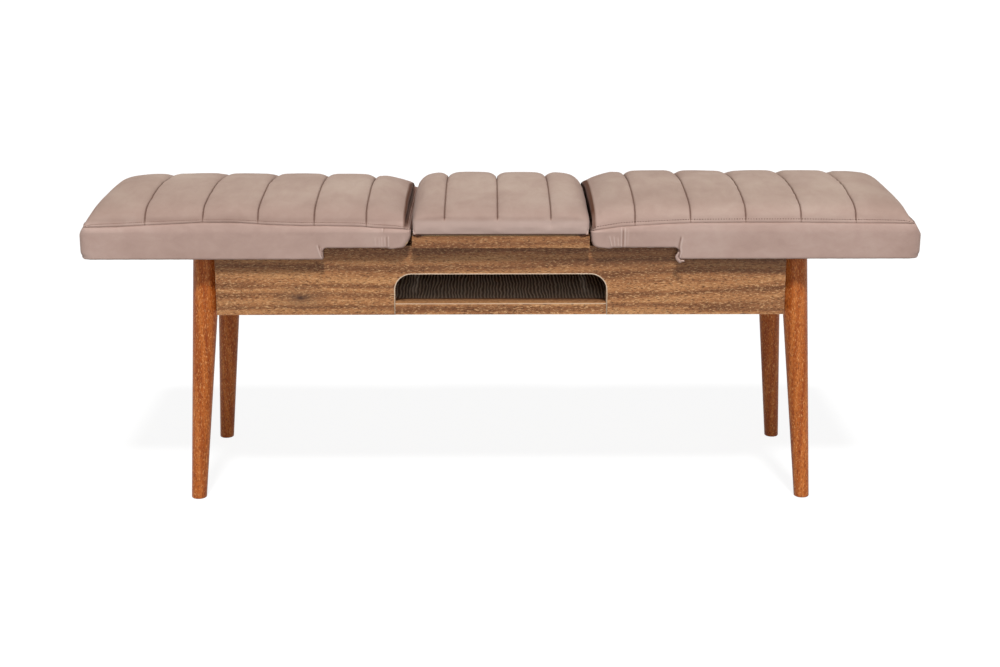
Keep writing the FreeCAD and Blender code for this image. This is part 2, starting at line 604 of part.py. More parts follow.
rear_skirt = cut("rear_skirt", common("rear_skirt_blank", ring, rear_side), skirt_holes[:3])
end_holes = [skirt_holes[3], mirror("front_end_hole", skirt_holes[3], FRONT_TO_BACK)]
end_skirt = cut("end_skirt", common("end_skirt_blank", ring, end_side), end_holes)



def round_under(name, start, radius):
    """What is cut away so that a lower edge next to the leaf is round over the whole depth."""
    centre_x = f"({BOARD_START} + Sizes.inner_end_round)"
    centre_z = f"({BOARD_BOTTOM} + Sizes.inner_end_round)"
    corner = block(f"{name}_corner", (f"{start} - {PAST}", centre_x),
                   (f"-{SEAT_FACE} - {PAST}", f"{SEAT_FACE} + {PAST}"),
                   (f"{SKIRT_BOTTOM} - 2 * {PAST}", centre_z))
    curve = rod(f"{name}_curve", (centre_x, f"-{SEAT_FACE} - 2 * {PAST}", centre_z), "y",
                f"2 * ({SEAT_FACE} + 2 * {PAST})", f"2 * ({radius})")
    return cut(name, corner, [curve])


board_round = round_under("board_round", BOARD_START, "Sizes.inner_end_round")
cover_round = round_under("cover_round", INNER_END,
                          "Sizes.inner_end_round + Sizes.fabric_thickness")
board_blank = rounded_plate("seat_board_blank", (BOARD_START, BOARD_END), both(BOARD_FACE),
                            (BOARD_BOTTOM, BOARD_TOP), board_inner_radius, board_radius)
rear_holes = group("rear_seat_holes", runner_holes + skirt_holes)
front_holes = mirror("front_seat_holes", rear_holes, FRONT_TO_BACK)
seat_board = cut("seat_board", board_blank, [board_round, rear_holes, front_holes])

# Fabric border round the board and the battens, with the low part's end closed
border_outside = rounded_plate("border_outside", (INNER_END, OUTER_END), both(SEAT_FACE),
                               (SKIRT_BOTTOM, BOARD_TOP), "Sizes.inner_corner_radius",
                               "Sizes.outer_corner_radius")
border_room = rounded_plate("border_room", (BOARD_START, BOARD_END), both(BOARD_FACE),
                            (f"{SKIRT_BOTTOM} - {PAST}", f"{BOARD_TOP} + {PAST}"),
                            board_inner_radius, board_radius)
border_step = block("border_step", (f"{INNER_END} - {PAST}", SKIRT_START),
                    (f"-{SEAT_FACE} - {PAST}", f"{SEAT_FACE} + {PAST}"),
                    (f"{SKIRT_BOTTOM} - {PAST}", BOARD_BOTTOM))
border_hollow = cut("border_hollow", border_room, [board_round])
border = cut("border", border_outside, [cover_round, border_hollow, border_step])

# Ball cages and balls
BALL_Y = f"({APRON_BACK} - Sizes.ball_line)"
ball_levels = (
    f"({SLIDE_BOTTOM} + Sizes.slide_wall + {track_gap} / 2)",
    f"({SLIDE_TOP} - Sizes.slide_wall - {track_gap} / 2)",
)
CAGE_FACE = f"({WEB_FACE} - Sizes.cage_gap)"
CAGE_END = f"({CAGE_START} + Sizes.cage_length)"
cage_strip = "Sizes.cage_wall / 2"
cage_whole = block("cage_whole", (CAGE_START, CAGE_END),
                   (f"{BALL_Y} - Sizes.ball_diameter", CAGE_FACE),
                   (f"{ball_levels[0]} - {cage_strip}", f"{ball_levels[1]} + {cage_strip}"))
cage_room = block("cage_room", (f"{CAGE_START} - {PAST}", f"{CAGE_END} + {PAST}"),
                  (f"{BALL_Y} - Sizes.ball_diameter - {PAST}", f"{CAGE_FACE} - Sizes.cage_wall"),
                  (f"{ball_levels[0]} + {cage_strip}", f"{ball_levels[1]} - {cage_strip}"))
balls = []
ball_holes = []
ball_count = int(value("Sizes.cage_length") // value("Sizes.ball_pitch"))
for index in range(ball_count):
    ball_x = f"({CAGE_START} + Sizes.ball_pitch * {index + 0.5})"
    for level_index, ball_z in enumerate(ball_levels):
        ball = doc.addObject("Part::Sphere", f"ball_{index}_{level_index}")
        ball.setExpression("Radius", "Sizes.ball_diameter / 2")
        place(ball, ball_x, BALL_Y, ball_z)
        balls.append(ball)
    ball_holes.append(rod(f"ball_hole_{index}", (ball_x, BALL_Y, f"{ball_levels[0]} - {PAST}"),
                          "z", f"{ball_levels[1]} - {ball_levels[0]} + 2 * {PAST}",
                          f"Sizes.ball_diameter + {PLAY}"))
cage = cut("cage", cage_whole, [cage_room] + ball_holes)
rear_balls = group("rear_balls", balls)


# Padded seats: channels between seams, each a loft through sections front to back.
# A station is a share of a rounded end or of a channel, and how full the padding stands there.
EDGE_BELLY = 0.24
OUTER_STATIONS = ((0.0, 0.05), (0.15, 0.45), (0.4, 0.68), (0.7, 0.83), (1.0, 0.91))
INNER_STATIONS = ((0.0, 0.05), (0.3, 0.5), (0.5, 0.72), (0.75, 0.85), (1.0, 0.91))
CHANNEL_STATIONS = ((0.0, 0.0), (0.16, 0.8), (0.5, 1.0), (0.84, 0.8), (1.0, 0.0))
HALF_SEAMS = 5


def belly(start, end, share):
    """Arc between two points that stands out to its right by a share of its chord."""
    chord = end - start
    outward = FreeCAD.Vector(0, chord.z, -chord.y)
    middle = (start + end) * 0.5 + outward * share
    return Part.Arc(start, middle, end).toShape()


def seat_section(x, half_depth, base, seam, rise):
    """Outline of the padding in a plane across the bench."""
    foot_y = half_depth - value("Sizes.band_bulge")
    seam_y = half_depth - value("Sizes.seam_draw")
    knee_y = half_depth - value("Sizes.knee_inset")
    knee_z = seam + value("Sizes.knee_rise") / value("Sizes.crown_rise") * rise

    def at(y, z):
        return FreeCAD.Vector(x, y, z)

    def side(sign):
        waist = at(sign * half_depth, (base + seam) / 2)
        return Part.Arc(at(sign * foot_y, base), waist, at(sign * seam_y, seam)).toShape()

    edges = [
        Part.LineSegment(at(-foot_y, base), at(foot_y, base)).toShape(),
        side(1),
        belly(at(seam_y, seam), at(knee_y, knee_z), EDGE_BELLY),
        Part.Arc(at(knee_y, knee_z), at(0, seam + rise), at(-knee_y, knee_z)).toShape(),
        belly(at(-knee_y, knee_z), at(-seam_y, seam), EDGE_BELLY),
        side(-1),
    ]
    return Part.Wire(edges)


def padding(low, high, seams, base, low_end, high_end):
    """Padded top between two ends, with a crease along every seam.

    An end is its stations, its corner radius in plan and how far its seam dips.
    """
    half_depth = value(SEAT_FACE)
    seam_level = base + value("Sizes.border_rise")
    full = value("Sizes.crown_rise")
    sink = value("Sizes.channel_sink")
    cap_depth = value("Sizes.cap_depth")

    def station(x, share):
        return seat_section(x, half_depth, base, seam_level, full - sink * (1 - share))

    def cap(end, direction, stations, radius, dip):
        sections = []
        for part_way, share in stations:
            distance = part_way * cap_depth
            inside = max(radius - distance, 0.0)
            corner = radius - math.sqrt(radius ** 2 - inside ** 2)
            lowered = dip if part_way == 0 else 0.0
            sections.append(seat_section(end + direction * distance, half_depth - corner, base,
                                         seam_level - lowered, full * share))
        return sections

    pieces = []
    near_seam = CHANNEL_STATIONS[1]
    for end, seam, direction, kind in ((low, seams[0], 1, low_end), (high, seams[-1], -1, high_end)):
        sections = cap(end, direction, *kind)
        pieces.append(Part.makeLoft(sections, True, True))
        capped = end + direction * cap_depth
        run = seam - capped
        outer_channel = [sections[-1], station(capped + run / 2, 1.0),
                         station(seam - near_seam[0] * run, near_seam[1]), station(seam, 0.0)]
        pieces.append(Part.makeLoft(outer_channel, True))
    for start, stop in zip(seams, seams[1:]):
        pieces.append(Part.makeLoft([station(start + share * (stop - start), fullness)
                                     for share, fullness in CHANNEL_STATIONS], True))
    whole = pieces[0].multiFuse(pieces[1:])
    return whole.removeSplitter().Solids[0]


INNER_CUSHION_END = (INNER_STATIONS, value("Sizes.inner_corner_radius"), value("Sizes.inner_dip"))
OUTER_CUSHION_END = (OUTER_STATIONS, value("Sizes.outer_corner_radius"), 0.0)
right_seams = [value(INNER_END) + value("Sizes.inner_channel") + k * value("Sizes.channel_pitch")
               for k in range(HALF_SEAMS)]
cushion = doc.addObject("Part::Feature", "seat_cushion")
cushion.Shape = padding(value(INNER_END), value(OUTER_END), right_seams, value(BOARD_TOP),
                        INNER_CUSHION_END, OUTER_CUSHION_END)
cushion.Placement = FreeCAD.Placement()

# Everything that belongs to the right half, and its mirror image at the left
half_parts = {
    "seat_board": seat_board,
    "rear_skirt": rear_skirt,
    "front_skirt": mirror("front_skirt_right", rear_skirt, FRONT_TO_BACK),
    "end_skirt": end_skirt,
    "seat_cushion": cushion,
    "border": border,
    "rear_runner": runner,
    "front_runner": mirror("front_runner_right", runner, FRONT_TO_BACK),
    "rear_slide_rail": rail,
    "front_slide_rail": mirror("front_rail_right", rail, FRONT_TO_BACK),
    "slide_cages": group("cages", [cage, mirror("front_cage", cage, FRONT_TO_BACK)]),
    "slide_balls": group("all_balls", [rear_balls, mirror("front_balls", rear_balls,
                                                          FRONT_TO_BACK)]),
}
for set_name, screws in (("runner_screws", runner_screws), ("rail_screws", rail_screws),
                         ("skirt_screws", skirt_screws)):
    rear_set = group(f"rear_{set_name}", screws)
    front_set = mirror(f"front_{set_name}", rear_set, FRONT_TO_BACK)
    half_parts[set_name] = group(f"all_{set_name}", [rear_set, front_set])
for part_name, part in half_parts.items():
    keep(f"right_{part_name}", part)
    keep(f"left_{part_name}", mirror(f"mirrored_{part_name}", part, ACROSS))

# Leaf
leaf_blank = plate("leaf_board_blank", both(LEAF_END), both(LEAF_FACE), (LEAF_BOTTOM, LEAF_TOP))
CLEAT_END = f"({LEAF_END} - Sizes.cleat_inset)"
CLEAT_START = f"({CLEAT_END} - Sizes.cleat_width)"
CLEAT_REACH = f"({APRON_BACK} - Sizes.cleat_play)"
cleat_blank = plate("cleat_blank", (CLEAT_START, CLEAT_END), both(CLEAT_REACH),
                    (CLEAT_BOTTOM, LEAF_BOTTOM))
cleat_screw, cleat_hole = wood_screw("cleat_screw", f"({CLEAT_START} + {CLEAT_END}) / 2",
                                     "Sizes.cleat_screw_offset", CLEAT_BOTTOM,
                                     "Sizes.screw_length")
leaf_screw, leaf_hole = wood_screw("leaf_screw", "Sizes.leaf_screw_x", "Sizes.leaf_screw_y",
                                   LEAF_BOTTOM, "Sizes.leaf_screw_length")
cleat_holes = four_ways("cleat_holes", cleat_hole)
leaf_holes = four_ways("leaf_holes", leaf_hole)
right_cleat = cut("cleat", cleat_blank, [cleat_hole, mirror("front_cleat_hole", cleat_hole,
                                                            FRONT_TO_BACK)])
left_cleat = mirror("left_cleat", right_cleat, ACROSS)
keep("leaf_board", cut("leaf_board_bored", leaf_blank, [cleat_holes, leaf_holes]))
keep("leaf_cleats", group("cleats", [right_cleat, left_cleat]))
keep("leaf_cleat_screws", four_ways("cleat_screws", cleat_screw))
keep("leaf_screws", four_ways("leaf_screw_set", leaf_screw))
BASE_END = f"({LEAF_END} - Sizes.base_margin)"
BASE_FACE = f"({LEAF_FACE} - Sizes.base_margin)"
BASE_TOP = f"({LEAF_TOP} + Sizes.base_thickness)"
base_blank = plate("leaf_base_blank", both(BASE_END), both(BASE_FACE), (LEAF_TOP, BASE_TOP))
keep("leaf_cushion_base", cut("leaf_base_bored", base_blank, [leaf_holes]))
leaf_seams = [value("Sizes.leaf_channel_shift") + k * value("Sizes.leaf_channel_pitch")
              for k in (-1, 0, 1)]
leaf_padding = doc.addObject("Part::Feature", "leaf_padding")
leaf_padding.Shape = padding(-value(LEAF_END), value(LEAF_END), leaf_seams, value(LEAF_TOP),
                             INNER_CUSHION_END, INNER_CUSHION_END)
leaf_padding.Placement = FreeCAD.Placement()
base_room = block("leaf_base_room", both(BASE_END), both(BASE_FACE),
                  (f"{LEAF_TOP} - {PAST}", BASE_TOP))
keep("leaf_cushion", cut("leaf_cushion_hollowed", leaf_padding, [base_room]))

doc.recompute()

# Checks before anything is written
for item in doc.Objects:
    if "Invalid" in item.State or "Error" in item.State:
        raise RuntimeError(f"{item.Name} failed: {item.State}")
for name, part in nodes.items():
    if part.Shape.isNull() or not part.Shape.isValid() or not part.Shape.Solids:
        raise RuntimeError(f"{name} has no valid solid")

for name, part in nodes.items():
    part.Shape.exportStep(f"parts/{name}.step")
print(len(nodes), "nodes written")
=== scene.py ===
"""Extending dining bench: three channel-stitched velvet seats on a walnut foil frame.

Metres. +Z is up, the front faces -Y, and the origin lies on the floor under the middle.
"""

import json
import math

import bmesh
import bpy
import numpy as np
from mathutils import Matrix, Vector, noise


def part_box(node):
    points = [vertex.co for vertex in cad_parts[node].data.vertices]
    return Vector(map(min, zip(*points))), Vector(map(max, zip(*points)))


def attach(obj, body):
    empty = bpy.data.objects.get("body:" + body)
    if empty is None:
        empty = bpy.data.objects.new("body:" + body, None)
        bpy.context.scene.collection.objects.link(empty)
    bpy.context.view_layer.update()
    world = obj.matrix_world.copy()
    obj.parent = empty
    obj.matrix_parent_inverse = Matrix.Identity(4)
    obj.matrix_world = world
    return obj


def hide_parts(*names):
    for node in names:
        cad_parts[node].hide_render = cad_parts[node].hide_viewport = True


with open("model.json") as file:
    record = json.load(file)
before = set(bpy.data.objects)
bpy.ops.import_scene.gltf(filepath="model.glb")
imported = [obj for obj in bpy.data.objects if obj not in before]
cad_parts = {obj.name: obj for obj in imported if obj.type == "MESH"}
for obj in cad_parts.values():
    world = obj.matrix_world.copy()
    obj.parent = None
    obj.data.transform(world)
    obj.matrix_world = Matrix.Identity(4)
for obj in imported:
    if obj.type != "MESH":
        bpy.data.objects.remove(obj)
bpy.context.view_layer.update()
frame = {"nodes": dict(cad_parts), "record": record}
scene = bpy.context.scene
scene.view_settings.view_transform = "Standard"
MM = 0.001

# Camera, where the photograph was taken from
CAMERA_PLACE = (-0.0189, -2.7305, 0.9832)
CAMERA_DOWN = 15.4056
CAMERA_TURN = -0.3958
CAMERA_LENS = 61.17


def make_camera():
    """The camera at the photograph's viewing angle."""
    data = bpy.data.cameras.new("camera")
    data.lens = CAMERA_LENS
    camera = bpy.data.objects.new("camera", data)
    camera.location = CAMERA_PLACE
    camera.rotation_euler = (math.radians(90 - CAMERA_DOWN), 0, math.radians(CAMERA_TURN))
    scene.collection.objects.link(camera)
    scene.camera = camera


make_camera()


# Node trees
class Tree:
    """Adds and joins nodes in one tree."""

    def __init__(self, tree):
        self.tree = tree

    def add(self, kind, sockets=None, **settings):
        """A node with its settings made and its sockets set or joined."""
        node = self.tree.nodes.new(kind)
        for name, setting in settings.items():
            setattr(node, name, setting)
        for key, given in (sockets or {}).items():
            if isinstance(given, bpy.types.NodeSocket):
                self.tree.links.new(given, node.inputs[key])
            else:
                node.inputs[key].default_value = given
        return node

    def math(self, operation, first, second=0.0, clamp=False):
        """A sum on numbers."""
        return self.add("ShaderNodeMath", {0: first, 1: second}, operation=operation,
                        use_clamp=clamp).outputs[0]

    def weighted(self, first, *others):
        """Numbers added up by their weights, from (number, weight) pairs."""
        total = self.math("MULTIPLY", *first)
        return self.math("ADD", total, self.weighted(*others)) if others else total

    def vector(self, operation, first, second):
        """A sum on vectors."""
        return self.add("ShaderNodeVectorMath", {0: first, 1: second},
                        operation=operation).outputs[0]

    def mix(self, factor, first, second):
        """Two colours mixed."""
        return self.add("ShaderNodeMix", {0: factor, 6: first, 7: second},
                        data_type="RGBA").outputs[2]

    def tinted(self, colour, mask, most, tint):
        """A colour drawn towards a tint where a mask is strong."""
        return self.mix(self.math("MULTIPLY", mask, most, True), colour, tint)

    def spread(self, number, low, high, to_low=0.0, to_high=1.0):
        """A number moved from one range to another, and held inside it."""
        return self.add("ShaderNodeMapRange", {"Value": number, "From Min": low, "From Max": high,
                                               "To Min": to_low, "To Max": to_high}).outputs[0]

    def noise(self, vector, scale, detail=3.0, roughness=0.5, distortion=0.0):
        """Soft noise from 0 to 1."""
        return self.add("ShaderNodeTexNoise", {
            "Vector": vector, "Scale": scale, "Detail": detail, "Roughness": roughness,
            "Distortion": distortion}).outputs[0]

    def stretch(self, vector, x, y, z):
        """A vector scaled along each axis."""
        return self.vector("MULTIPLY", vector, (x, y, z))

    def laid(self, vector, turn=(0.0, 0.0, 0.0), shift=(0.0, 0.0, 0.0)):
        """A vector turned and moved."""
        return self.add("ShaderNodeMapping", {"Vector": vector, "Location": shift,
                                              "Rotation": turn}).outputs[0]

    def split(self, vector):
        """The X, Y and Z of a vector."""
        return self.add("ShaderNodeSeparateXYZ", {0: vector}).outputs

    def joined(self, x=1.0, y=1.0, z=1.0):
        """A vector from its X, Y and Z."""
        return self.add("ShaderNodeCombineXYZ", {"X": x, "Y": y, "Z": z}).outputs[0]

    def stored(self, name):
        """A number that is stored on the piece's points."""
        return self.add("ShaderNodeAttribute", attribute_name=name).outputs["Fac"]

    def group(self, tree, sockets):
        """The outputs of a shader group."""
        return self.add("ShaderNodeGroup", sockets, node_tree=tree).outputs

    def ramp(self, number, *stops):
        """A colour that follows a number through (place, red, green, blue) stops."""
        node = self.add("ShaderNodeValToRGB", {0: number})
        elements = node.color_ramp.elements
        while len(elements) < len(stops):
            elements.new(0.5)
        for element, (place, *channels) in zip(elements, stops):
            element.position = place
            element.color = tone(*channels)
        return node.outputs[0]

    def bump(self, height, strength, distance):
        """A normal that follows a height."""
        return self.add("ShaderNodeBump", {"Height": height, "Strength": strength,
                                           "Distance": distance}).outputs[0]


def tone(red, green, blue):
    """A colour by its 0 to 255 screen values, as the shader's linear one."""
    shares = [channel / 255 for channel in (red, green, blue)]
    return tuple(s / 12.92 if s <= 0.04045 else ((s + 0.055) / 1.055) ** 2.4
                 for s in shares) + (1.0,)


def shader_group(name, inputs, outputs, build):
    """Group of shader nodes with named inputs (label, kind, value) and outputs (label, kind)."""
    tree = bpy.data.node_groups.new(name, "ShaderNodeTree")
    for label, kind, given in inputs:
        socket = tree.interface.new_socket(label, in_out="INPUT", socket_type=f"NodeSocket{kind}")
        if given is not None:
            socket.default_value = given
    for label, kind in outputs:
        tree.interface.new_socket(label, in_out="OUTPUT", socket_type=f"NodeSocket{kind}")
    nodes = Tree(tree)
    start = nodes.add("NodeGroupInput")
    nodes.add("NodeGroupOutput", build(nodes, start.outputs))
    return tree


def build_grain(n, given):
    """Wood grain that runs along X: broad tone, streaks, growth rings, fine pores and flecks."""
    drawn = n.vector("MULTIPLY", given["Vector"], n.joined(x=given["Along"]))
    wide = n.stretch(drawn, 2.4, 1.0, 1.0)
    broad = n.noise(wide, given["Broad Scale"], 3.0, 0.5, 0.4)
    streaks = n.noise(drawn, given["Streak Scale"], 5.0, 0.62, 0.5)
    rings = n.add("ShaderNodeTexWave", {
        "Vector": drawn, "Scale": given["Ring Scale"], "Distortion": given["Ring Bend"],
        "Detail": 3.0, "Detail Scale": 1.6, "Detail Roughness": 0.6},
        wave_type="RINGS", rings_direction="X").outputs["Fac"]
    fine = n.stretch(drawn, 4.2, 1.0, 1.0)
    pores = n.spread(n.noise(fine, given["Pore Scale"], 3.0, 0.7), 0.5, 0.66)
    shifted = n.vector("ADD", fine, (3.1, 1.7, 0.6))
    flecks = n.spread(n.noise(shifted, given["Pore Scale"], 3.0, 0.7), 0.53, 0.68)
    return {"Broad": broad, "Streaks": streaks, "Rings": rings, "Pores": pores,
            "Flecks": flecks}


def build_pile(n, given):
    """Velvet nap: brushed patches, strokes and single tufts."""
    patches = n.noise(given["Vector"], given["Patch Scale"], 2.0, 0.5, 0.6)
    strokes = n.noise(n.stretch(given["Vector"], 1.0, 0.45, 1.6), given["Stroke Scale"], 4.0, 0.62,
                      0.4)
    tufts = n.noise(given["Vector"], given["Tuft Scale"], 2.0, 0.7)
    shade = n.spread(n.weighted((patches, 0.6), (strokes, 0.4)), 0.34, 0.66)
    speckled = n.math("ADD", shade, n.math("MULTIPLY", n.math("SUBTRACT", tufts, 0.5), 0.35), True)
    height = n.math("ADD", tufts, n.math("MULTIPLY", strokes, 1.5))
    return {"Shade": speckled, "Height": height}


def build_scuff(n, given):
    """Faint rubbed marks and settled dust."""
    cloud = n.noise(given["Vector"], given["Scale"], 4.0, 0.65, 0.3)
    return {"Mask": n.spread(cloud, 0.55, 0.8)}


GRAIN = shader_group("wood_grain", (
    ("Vector", "Vector", None), ("Along", "Float", 0.1), ("Broad Scale", "Float", 26.0),
    ("Streak Scale", "Float", 160.0), ("Ring Scale", "Float", 30.0), ("Ring Bend", "Float", 6.0),
    ("Pore Scale", "Float", 700.0)),
    (("Broad", "Float"), ("Streaks", "Float"), ("Rings", "Float"), ("Pores", "Float"),
     ("Flecks", "Float")), build_grain)
PILE = shader_group("velvet_pile", (
    ("Vector", "Vector", None), ("Patch Scale", "Float", 7.0), ("Stroke Scale", "Float", 38.0),
    ("Tuft Scale", "Float", 1500.0)), (("Shade", "Float"), ("Height", "Float")), build_pile)
SCUFF = shader_group("light_scuffs", (("Vector", "Vector", None), ("Scale", "Float", 25.0)),
                     (("Mask", "Float"),), build_scuff)


def material(name, build):
    """Material whose build function gives the sockets of its one surface shader."""
    made = bpy.data.materials.new(name)
    made.use_nodes = True
    made.node_tree.nodes.clear()
    n = Tree(made.node_tree)
    place = n.add("ShaderNodeTexCoord").outputs["Object"]
    surface = n.add("ShaderNodeBsdfPrincipled", build(n, place))
    n.add("ShaderNodeOutputMaterial", {"Surface": surface.outputs[0]})
    return made


# Finishes
# Painted shade on the slope above the border seam: (levels where it begins, levels where it ends,
# most)
LEFT_SLOPE_SHADE = ((0.4545, 0.459), (0.47, 0.492), 0.27)
RIGHT_SLOPE_SHADE = ((0.4545, 0.48), (0.484, 0.498), 0.17)
SLOPE_SHADE_CHANGE = (0.135, 0.14)
TOP_LEVELS = (0.452, 0.492)


def velvet():
    """Short pile upholstery velvet in dusty taupe pink, with painted light on its top, gathers and
    the leaf's lower front, and painted shade on its slopes, outer ends, seams and inner ends.
    """
    def build(n, place):
        pile = n.group(PILE, {"Vector": place})
        # Painted light: the top gets its own greyer tone, mixed in by level, in place of the
        # difference light makes between top and front
        front = n.ramp(pile["Shade"], (0.0, 177, 149, 138), (0.5, 186, 158, 147),
                       (1.0, 194, 168, 157))
        painted_top_tone = n.ramp(pile["Shade"], (0.0, 173, 148, 135), (0.5, 183, 159, 145),
                       (1.0, 192, 170, 155))
        spot = n.split(place)
        colour = n.mix(n.spread(spot["Z"], *TOP_LEVELS), front, painted_top_tone)
        # Painted shade on the slope above the border seam, with its own levels on the left seat
        # and on the right seat
        left, right = [n.math("MULTIPLY", n.spread(spot["Z"], *begins, 0.0, most),
                              n.spread(spot["Z"], *ends, 1.0, 0.0))
                       for begins, ends, most in (LEFT_SLOPE_SHADE, RIGHT_SLOPE_SHADE)]
        slope = n.weighted((left, n.spread(spot["X"], *SLOPE_SHADE_CHANGE, 1.0, 0.0)),
                           (right, n.spread(spot["X"], *SLOPE_SHADE_CHANGE)))
        colour = n.mix(slope, colour, tone(120, 94, 83))
        # Painted shade on the lower slope over the border seam and on the outer ends, from a
        # stored number
        colour = n.tinted(colour, n.stored("slope_and_end_shade"), 0.45, tone(146, 118, 105))
        # Painted shading from a stored number: painted shade in the seams, hollows and inner ends,
        # painted light on the gathers' ridges and the leaf's lower front
        painted_shading = n.stored("painted_shading")
        colour = n.tinted(colour, painted_shading, -0.6, tone(216, 194, 184))
        colour = n.tinted(colour, painted_shading, 0.72, tone(88, 52, 33))
        return {"Base Color": colour, "Roughness": n.spread(pile["Shade"], 0, 1, 0.95, 0.82),
                "Normal": n.bump(pile["Height"], 0.3, 0.0004), "Sheen Weight": 0.08,
                "Sheen Roughness": 0.45, "Sheen Tint": tone(226, 204, 194),
                "Specular IOR Level": 0.15}
    return material("taupe_velvet", build)


KNOT = (-0.3115, 0.3335)
# Painted shadow along the apron's top, under the seats: (share at the left, at the right, level of
# its foot, of its full shade)
APRON_TOP_SHADOW = (0.3, 0.52, 0.362, 0.388)
GRAIN_TILT = 0.012


def walnut_colour(n, place, turn=0.0, shift=(0.0, 0.0, 0.0), knot=None, depth=0.0,
                  top_streak=None):
    """Colour and masks of the walnut print: streaks, cathedral rings, dashes and a knot, and where
    asked a painted shadow along the top.
    """
    laid = n.laid(place, (0.0, GRAIN_TILT, math.radians(turn)), shift)
    if knot:
        near = n.add("ShaderNodeVectorMath", {0: n.stretch(place, 0.5, 0.0, 1.0),
                                              1: (knot[0] * 0.5, 0.0, knot[1])},
                     operation="DISTANCE").outputs["Value"]
        bend = n.spread(near, 0.0, 0.022, 0.006, 0.0)
        laid = n.vector("ADD", laid, n.joined(0.0, 0.0, bend))
    grain = n.group(GRAIN, {"Vector": laid, "Along": 0.07, "Broad Scale": 24.0,
                            "Streak Scale": 170.0, "Ring Scale": 15.0, "Ring Bend": 8.0,
                            "Pore Scale": 600.0})
    body = n.weighted((grain["Streaks"], 0.38), (grain["Broad"], 0.38), (grain["Rings"], 0.24))
    colour = n.ramp(body, (0.3, 118, 72, 40), (0.43, 150, 98, 60), (0.56, 176, 120, 75),
                    (0.72, 200, 146, 96))
    lines = n.spread(grain["Rings"], 0.3, 0.0, 0.0, 0.3)
    colour = n.mix(lines, colour, tone(108, 66, 38))
    colour = n.tinted(colour, grain["Pores"], 0.95, tone(82, 48, 27))
    colour = n.tinted(colour, grain["Flecks"], 0.85, tone(232, 184, 132))
    if depth:
        colour = n.mix(depth, colour, tone(96, 56, 34))
    # Painted shadow under the seats, darkest at the apron's top and stronger towards the right
    if top_streak:
        left_share, right_share, foot, full = top_streak
        spot = n.split(place)
        share = n.spread(spot["X"], 0.1, 0.33, left_share, right_share)
        share = n.math("MULTIPLY", share, n.spread(spot["Z"], foot, full))
        colour = n.mix(share, colour, tone(70, 42, 27))
    if knot:
        core = n.math("MULTIPLY", n.spread(near, 0.0, 0.009, 1.0, 0.0), grain["Streaks"])
        smoke = n.spread(near, 0.004, 0.026, 0.42, 0.0)
        colour = n.mix(smoke, colour, tone(92, 70, 54))
        colour = n.mix(n.math("ADD", core, n.spread(near, 0.0, 0.0035, 0.6, 0.0), True),
                       colour, tone(66, 40, 28))
    scuff = n.group(SCUFF, {"Vector": place})
    rough = n.math("ADD", n.spread(grain["Pores"], 0, 1, 0.46, 0.62),
                   n.math("MULTIPLY", scuff["Mask"], 0.1))
    height = n.math("SUBTRACT", n.math("MULTIPLY", grain["Streaks"], 0.4), grain["Pores"])
    return colour, rough, height


def walnut(name, **print_settings):
    """Printed walnut foil on board. Turn lays the grain along another axis, about Z."""
    def build(n, place):
        colour, rough, height = walnut_colour(n, place, **print_settings)
        return {"Base Color": colour, "Roughness": rough,
                "Normal": n.bump(height, 0.3, 0.0003), "Specular IOR Level": 0.3}
    return material(name, build)


STRIPES_START = -0.128
STRIPE_PITCH = 5.2 * MM
FLOOR_LOW, FLOOR_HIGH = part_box("floor_panel")


def striped_floor():
    """Foil of the storage floor: grey brown stripes from front to back, plain at its front. The
    stripes' pale tones are painted light, and the plain strip darkens towards them as painted
    shade.
    """
    def build(n, place):
        wander = n.noise(n.stretch(place, 1.0, 0.35, 1.0), 34.0, 2.0)
        spot = n.split(place)
        deep, level = spot["Y"], spot["Z"]
        moved = n.math("ADD", spot["X"], n.math("MULTIPLY", wander, 0.012))
        turn = n.math("MULTIPLY", moved, 2 * math.pi / STRIPE_PITCH)
        stripe = n.spread(n.math("SINE", turn), -0.4, 1.0)
        fine = n.noise(n.stretch(place, 1.0, 0.05, 1.0), 700.0, 3.0, 0.7)
        body = n.weighted((stripe, 0.6), (fine, 0.4))
        # Painted light: the stripe tones are made pale to stand in for light inside the closed box
        colour = n.ramp(body, (0.15, 138, 114, 96), (0.5, 214, 190, 168), (0.85, 246, 232, 216))
        plain, rough, height = walnut_colour(n, place, shift=(0.9, 0.2, 0.4))
        behind = n.spread(n.math("ADD", deep, n.math("MULTIPLY", wander, 0.004)),
                          STRIPES_START, STRIPES_START + 0.006)
        # Painted shade on the plain front strip, growing towards the stripes
        inward_shade = n.spread(deep, FLOOR_LOW.y + 0.003, STRIPES_START, 0.0, 0.72)
        plain = n.mix(inward_shade, plain, tone(78, 54, 38))
        # Painted highlight along the floor's front top edge
        arris_highlight = n.math("MULTIPLY", n.spread(level, FLOOR_HIGH.z - 0.0015, FLOOR_HIGH.z - 0.0011),
                       n.spread(deep, FLOOR_LOW.y + 0.0012, FLOOR_LOW.y + 0.0008))
        plain = n.tinted(plain, arris_highlight, 0.75, tone(222, 196, 168))
        return {"Base Color": n.mix(behind, plain, colour),
                "Roughness": n.spread(fine, 0, 1, 0.5, 0.65),
                "Normal": n.bump(stripe, 0.15, 0.0003), "Specular IOR Level": 0.3}
    return material("striped_floor_foil", build)


def edge_band():
    """Thin pale band along cut edges of the foil board, its paleness partly the band's own colour
    and partly painted highlight where the eased edges catch light.
    """
    def build(n, place):
        streaks = n.noise(n.stretch(place, 4.0, 40.0, 40.0), 12.0, 3.0)
        return {"Base Color": n.ramp(streaks, (0.3, 204, 176, 148), (0.7, 234, 212, 186)),
                "Roughness": n.spread(streaks, 0, 1, 0.4, 0.55)}
    return material("pale_edge_band_with_highlight", build)


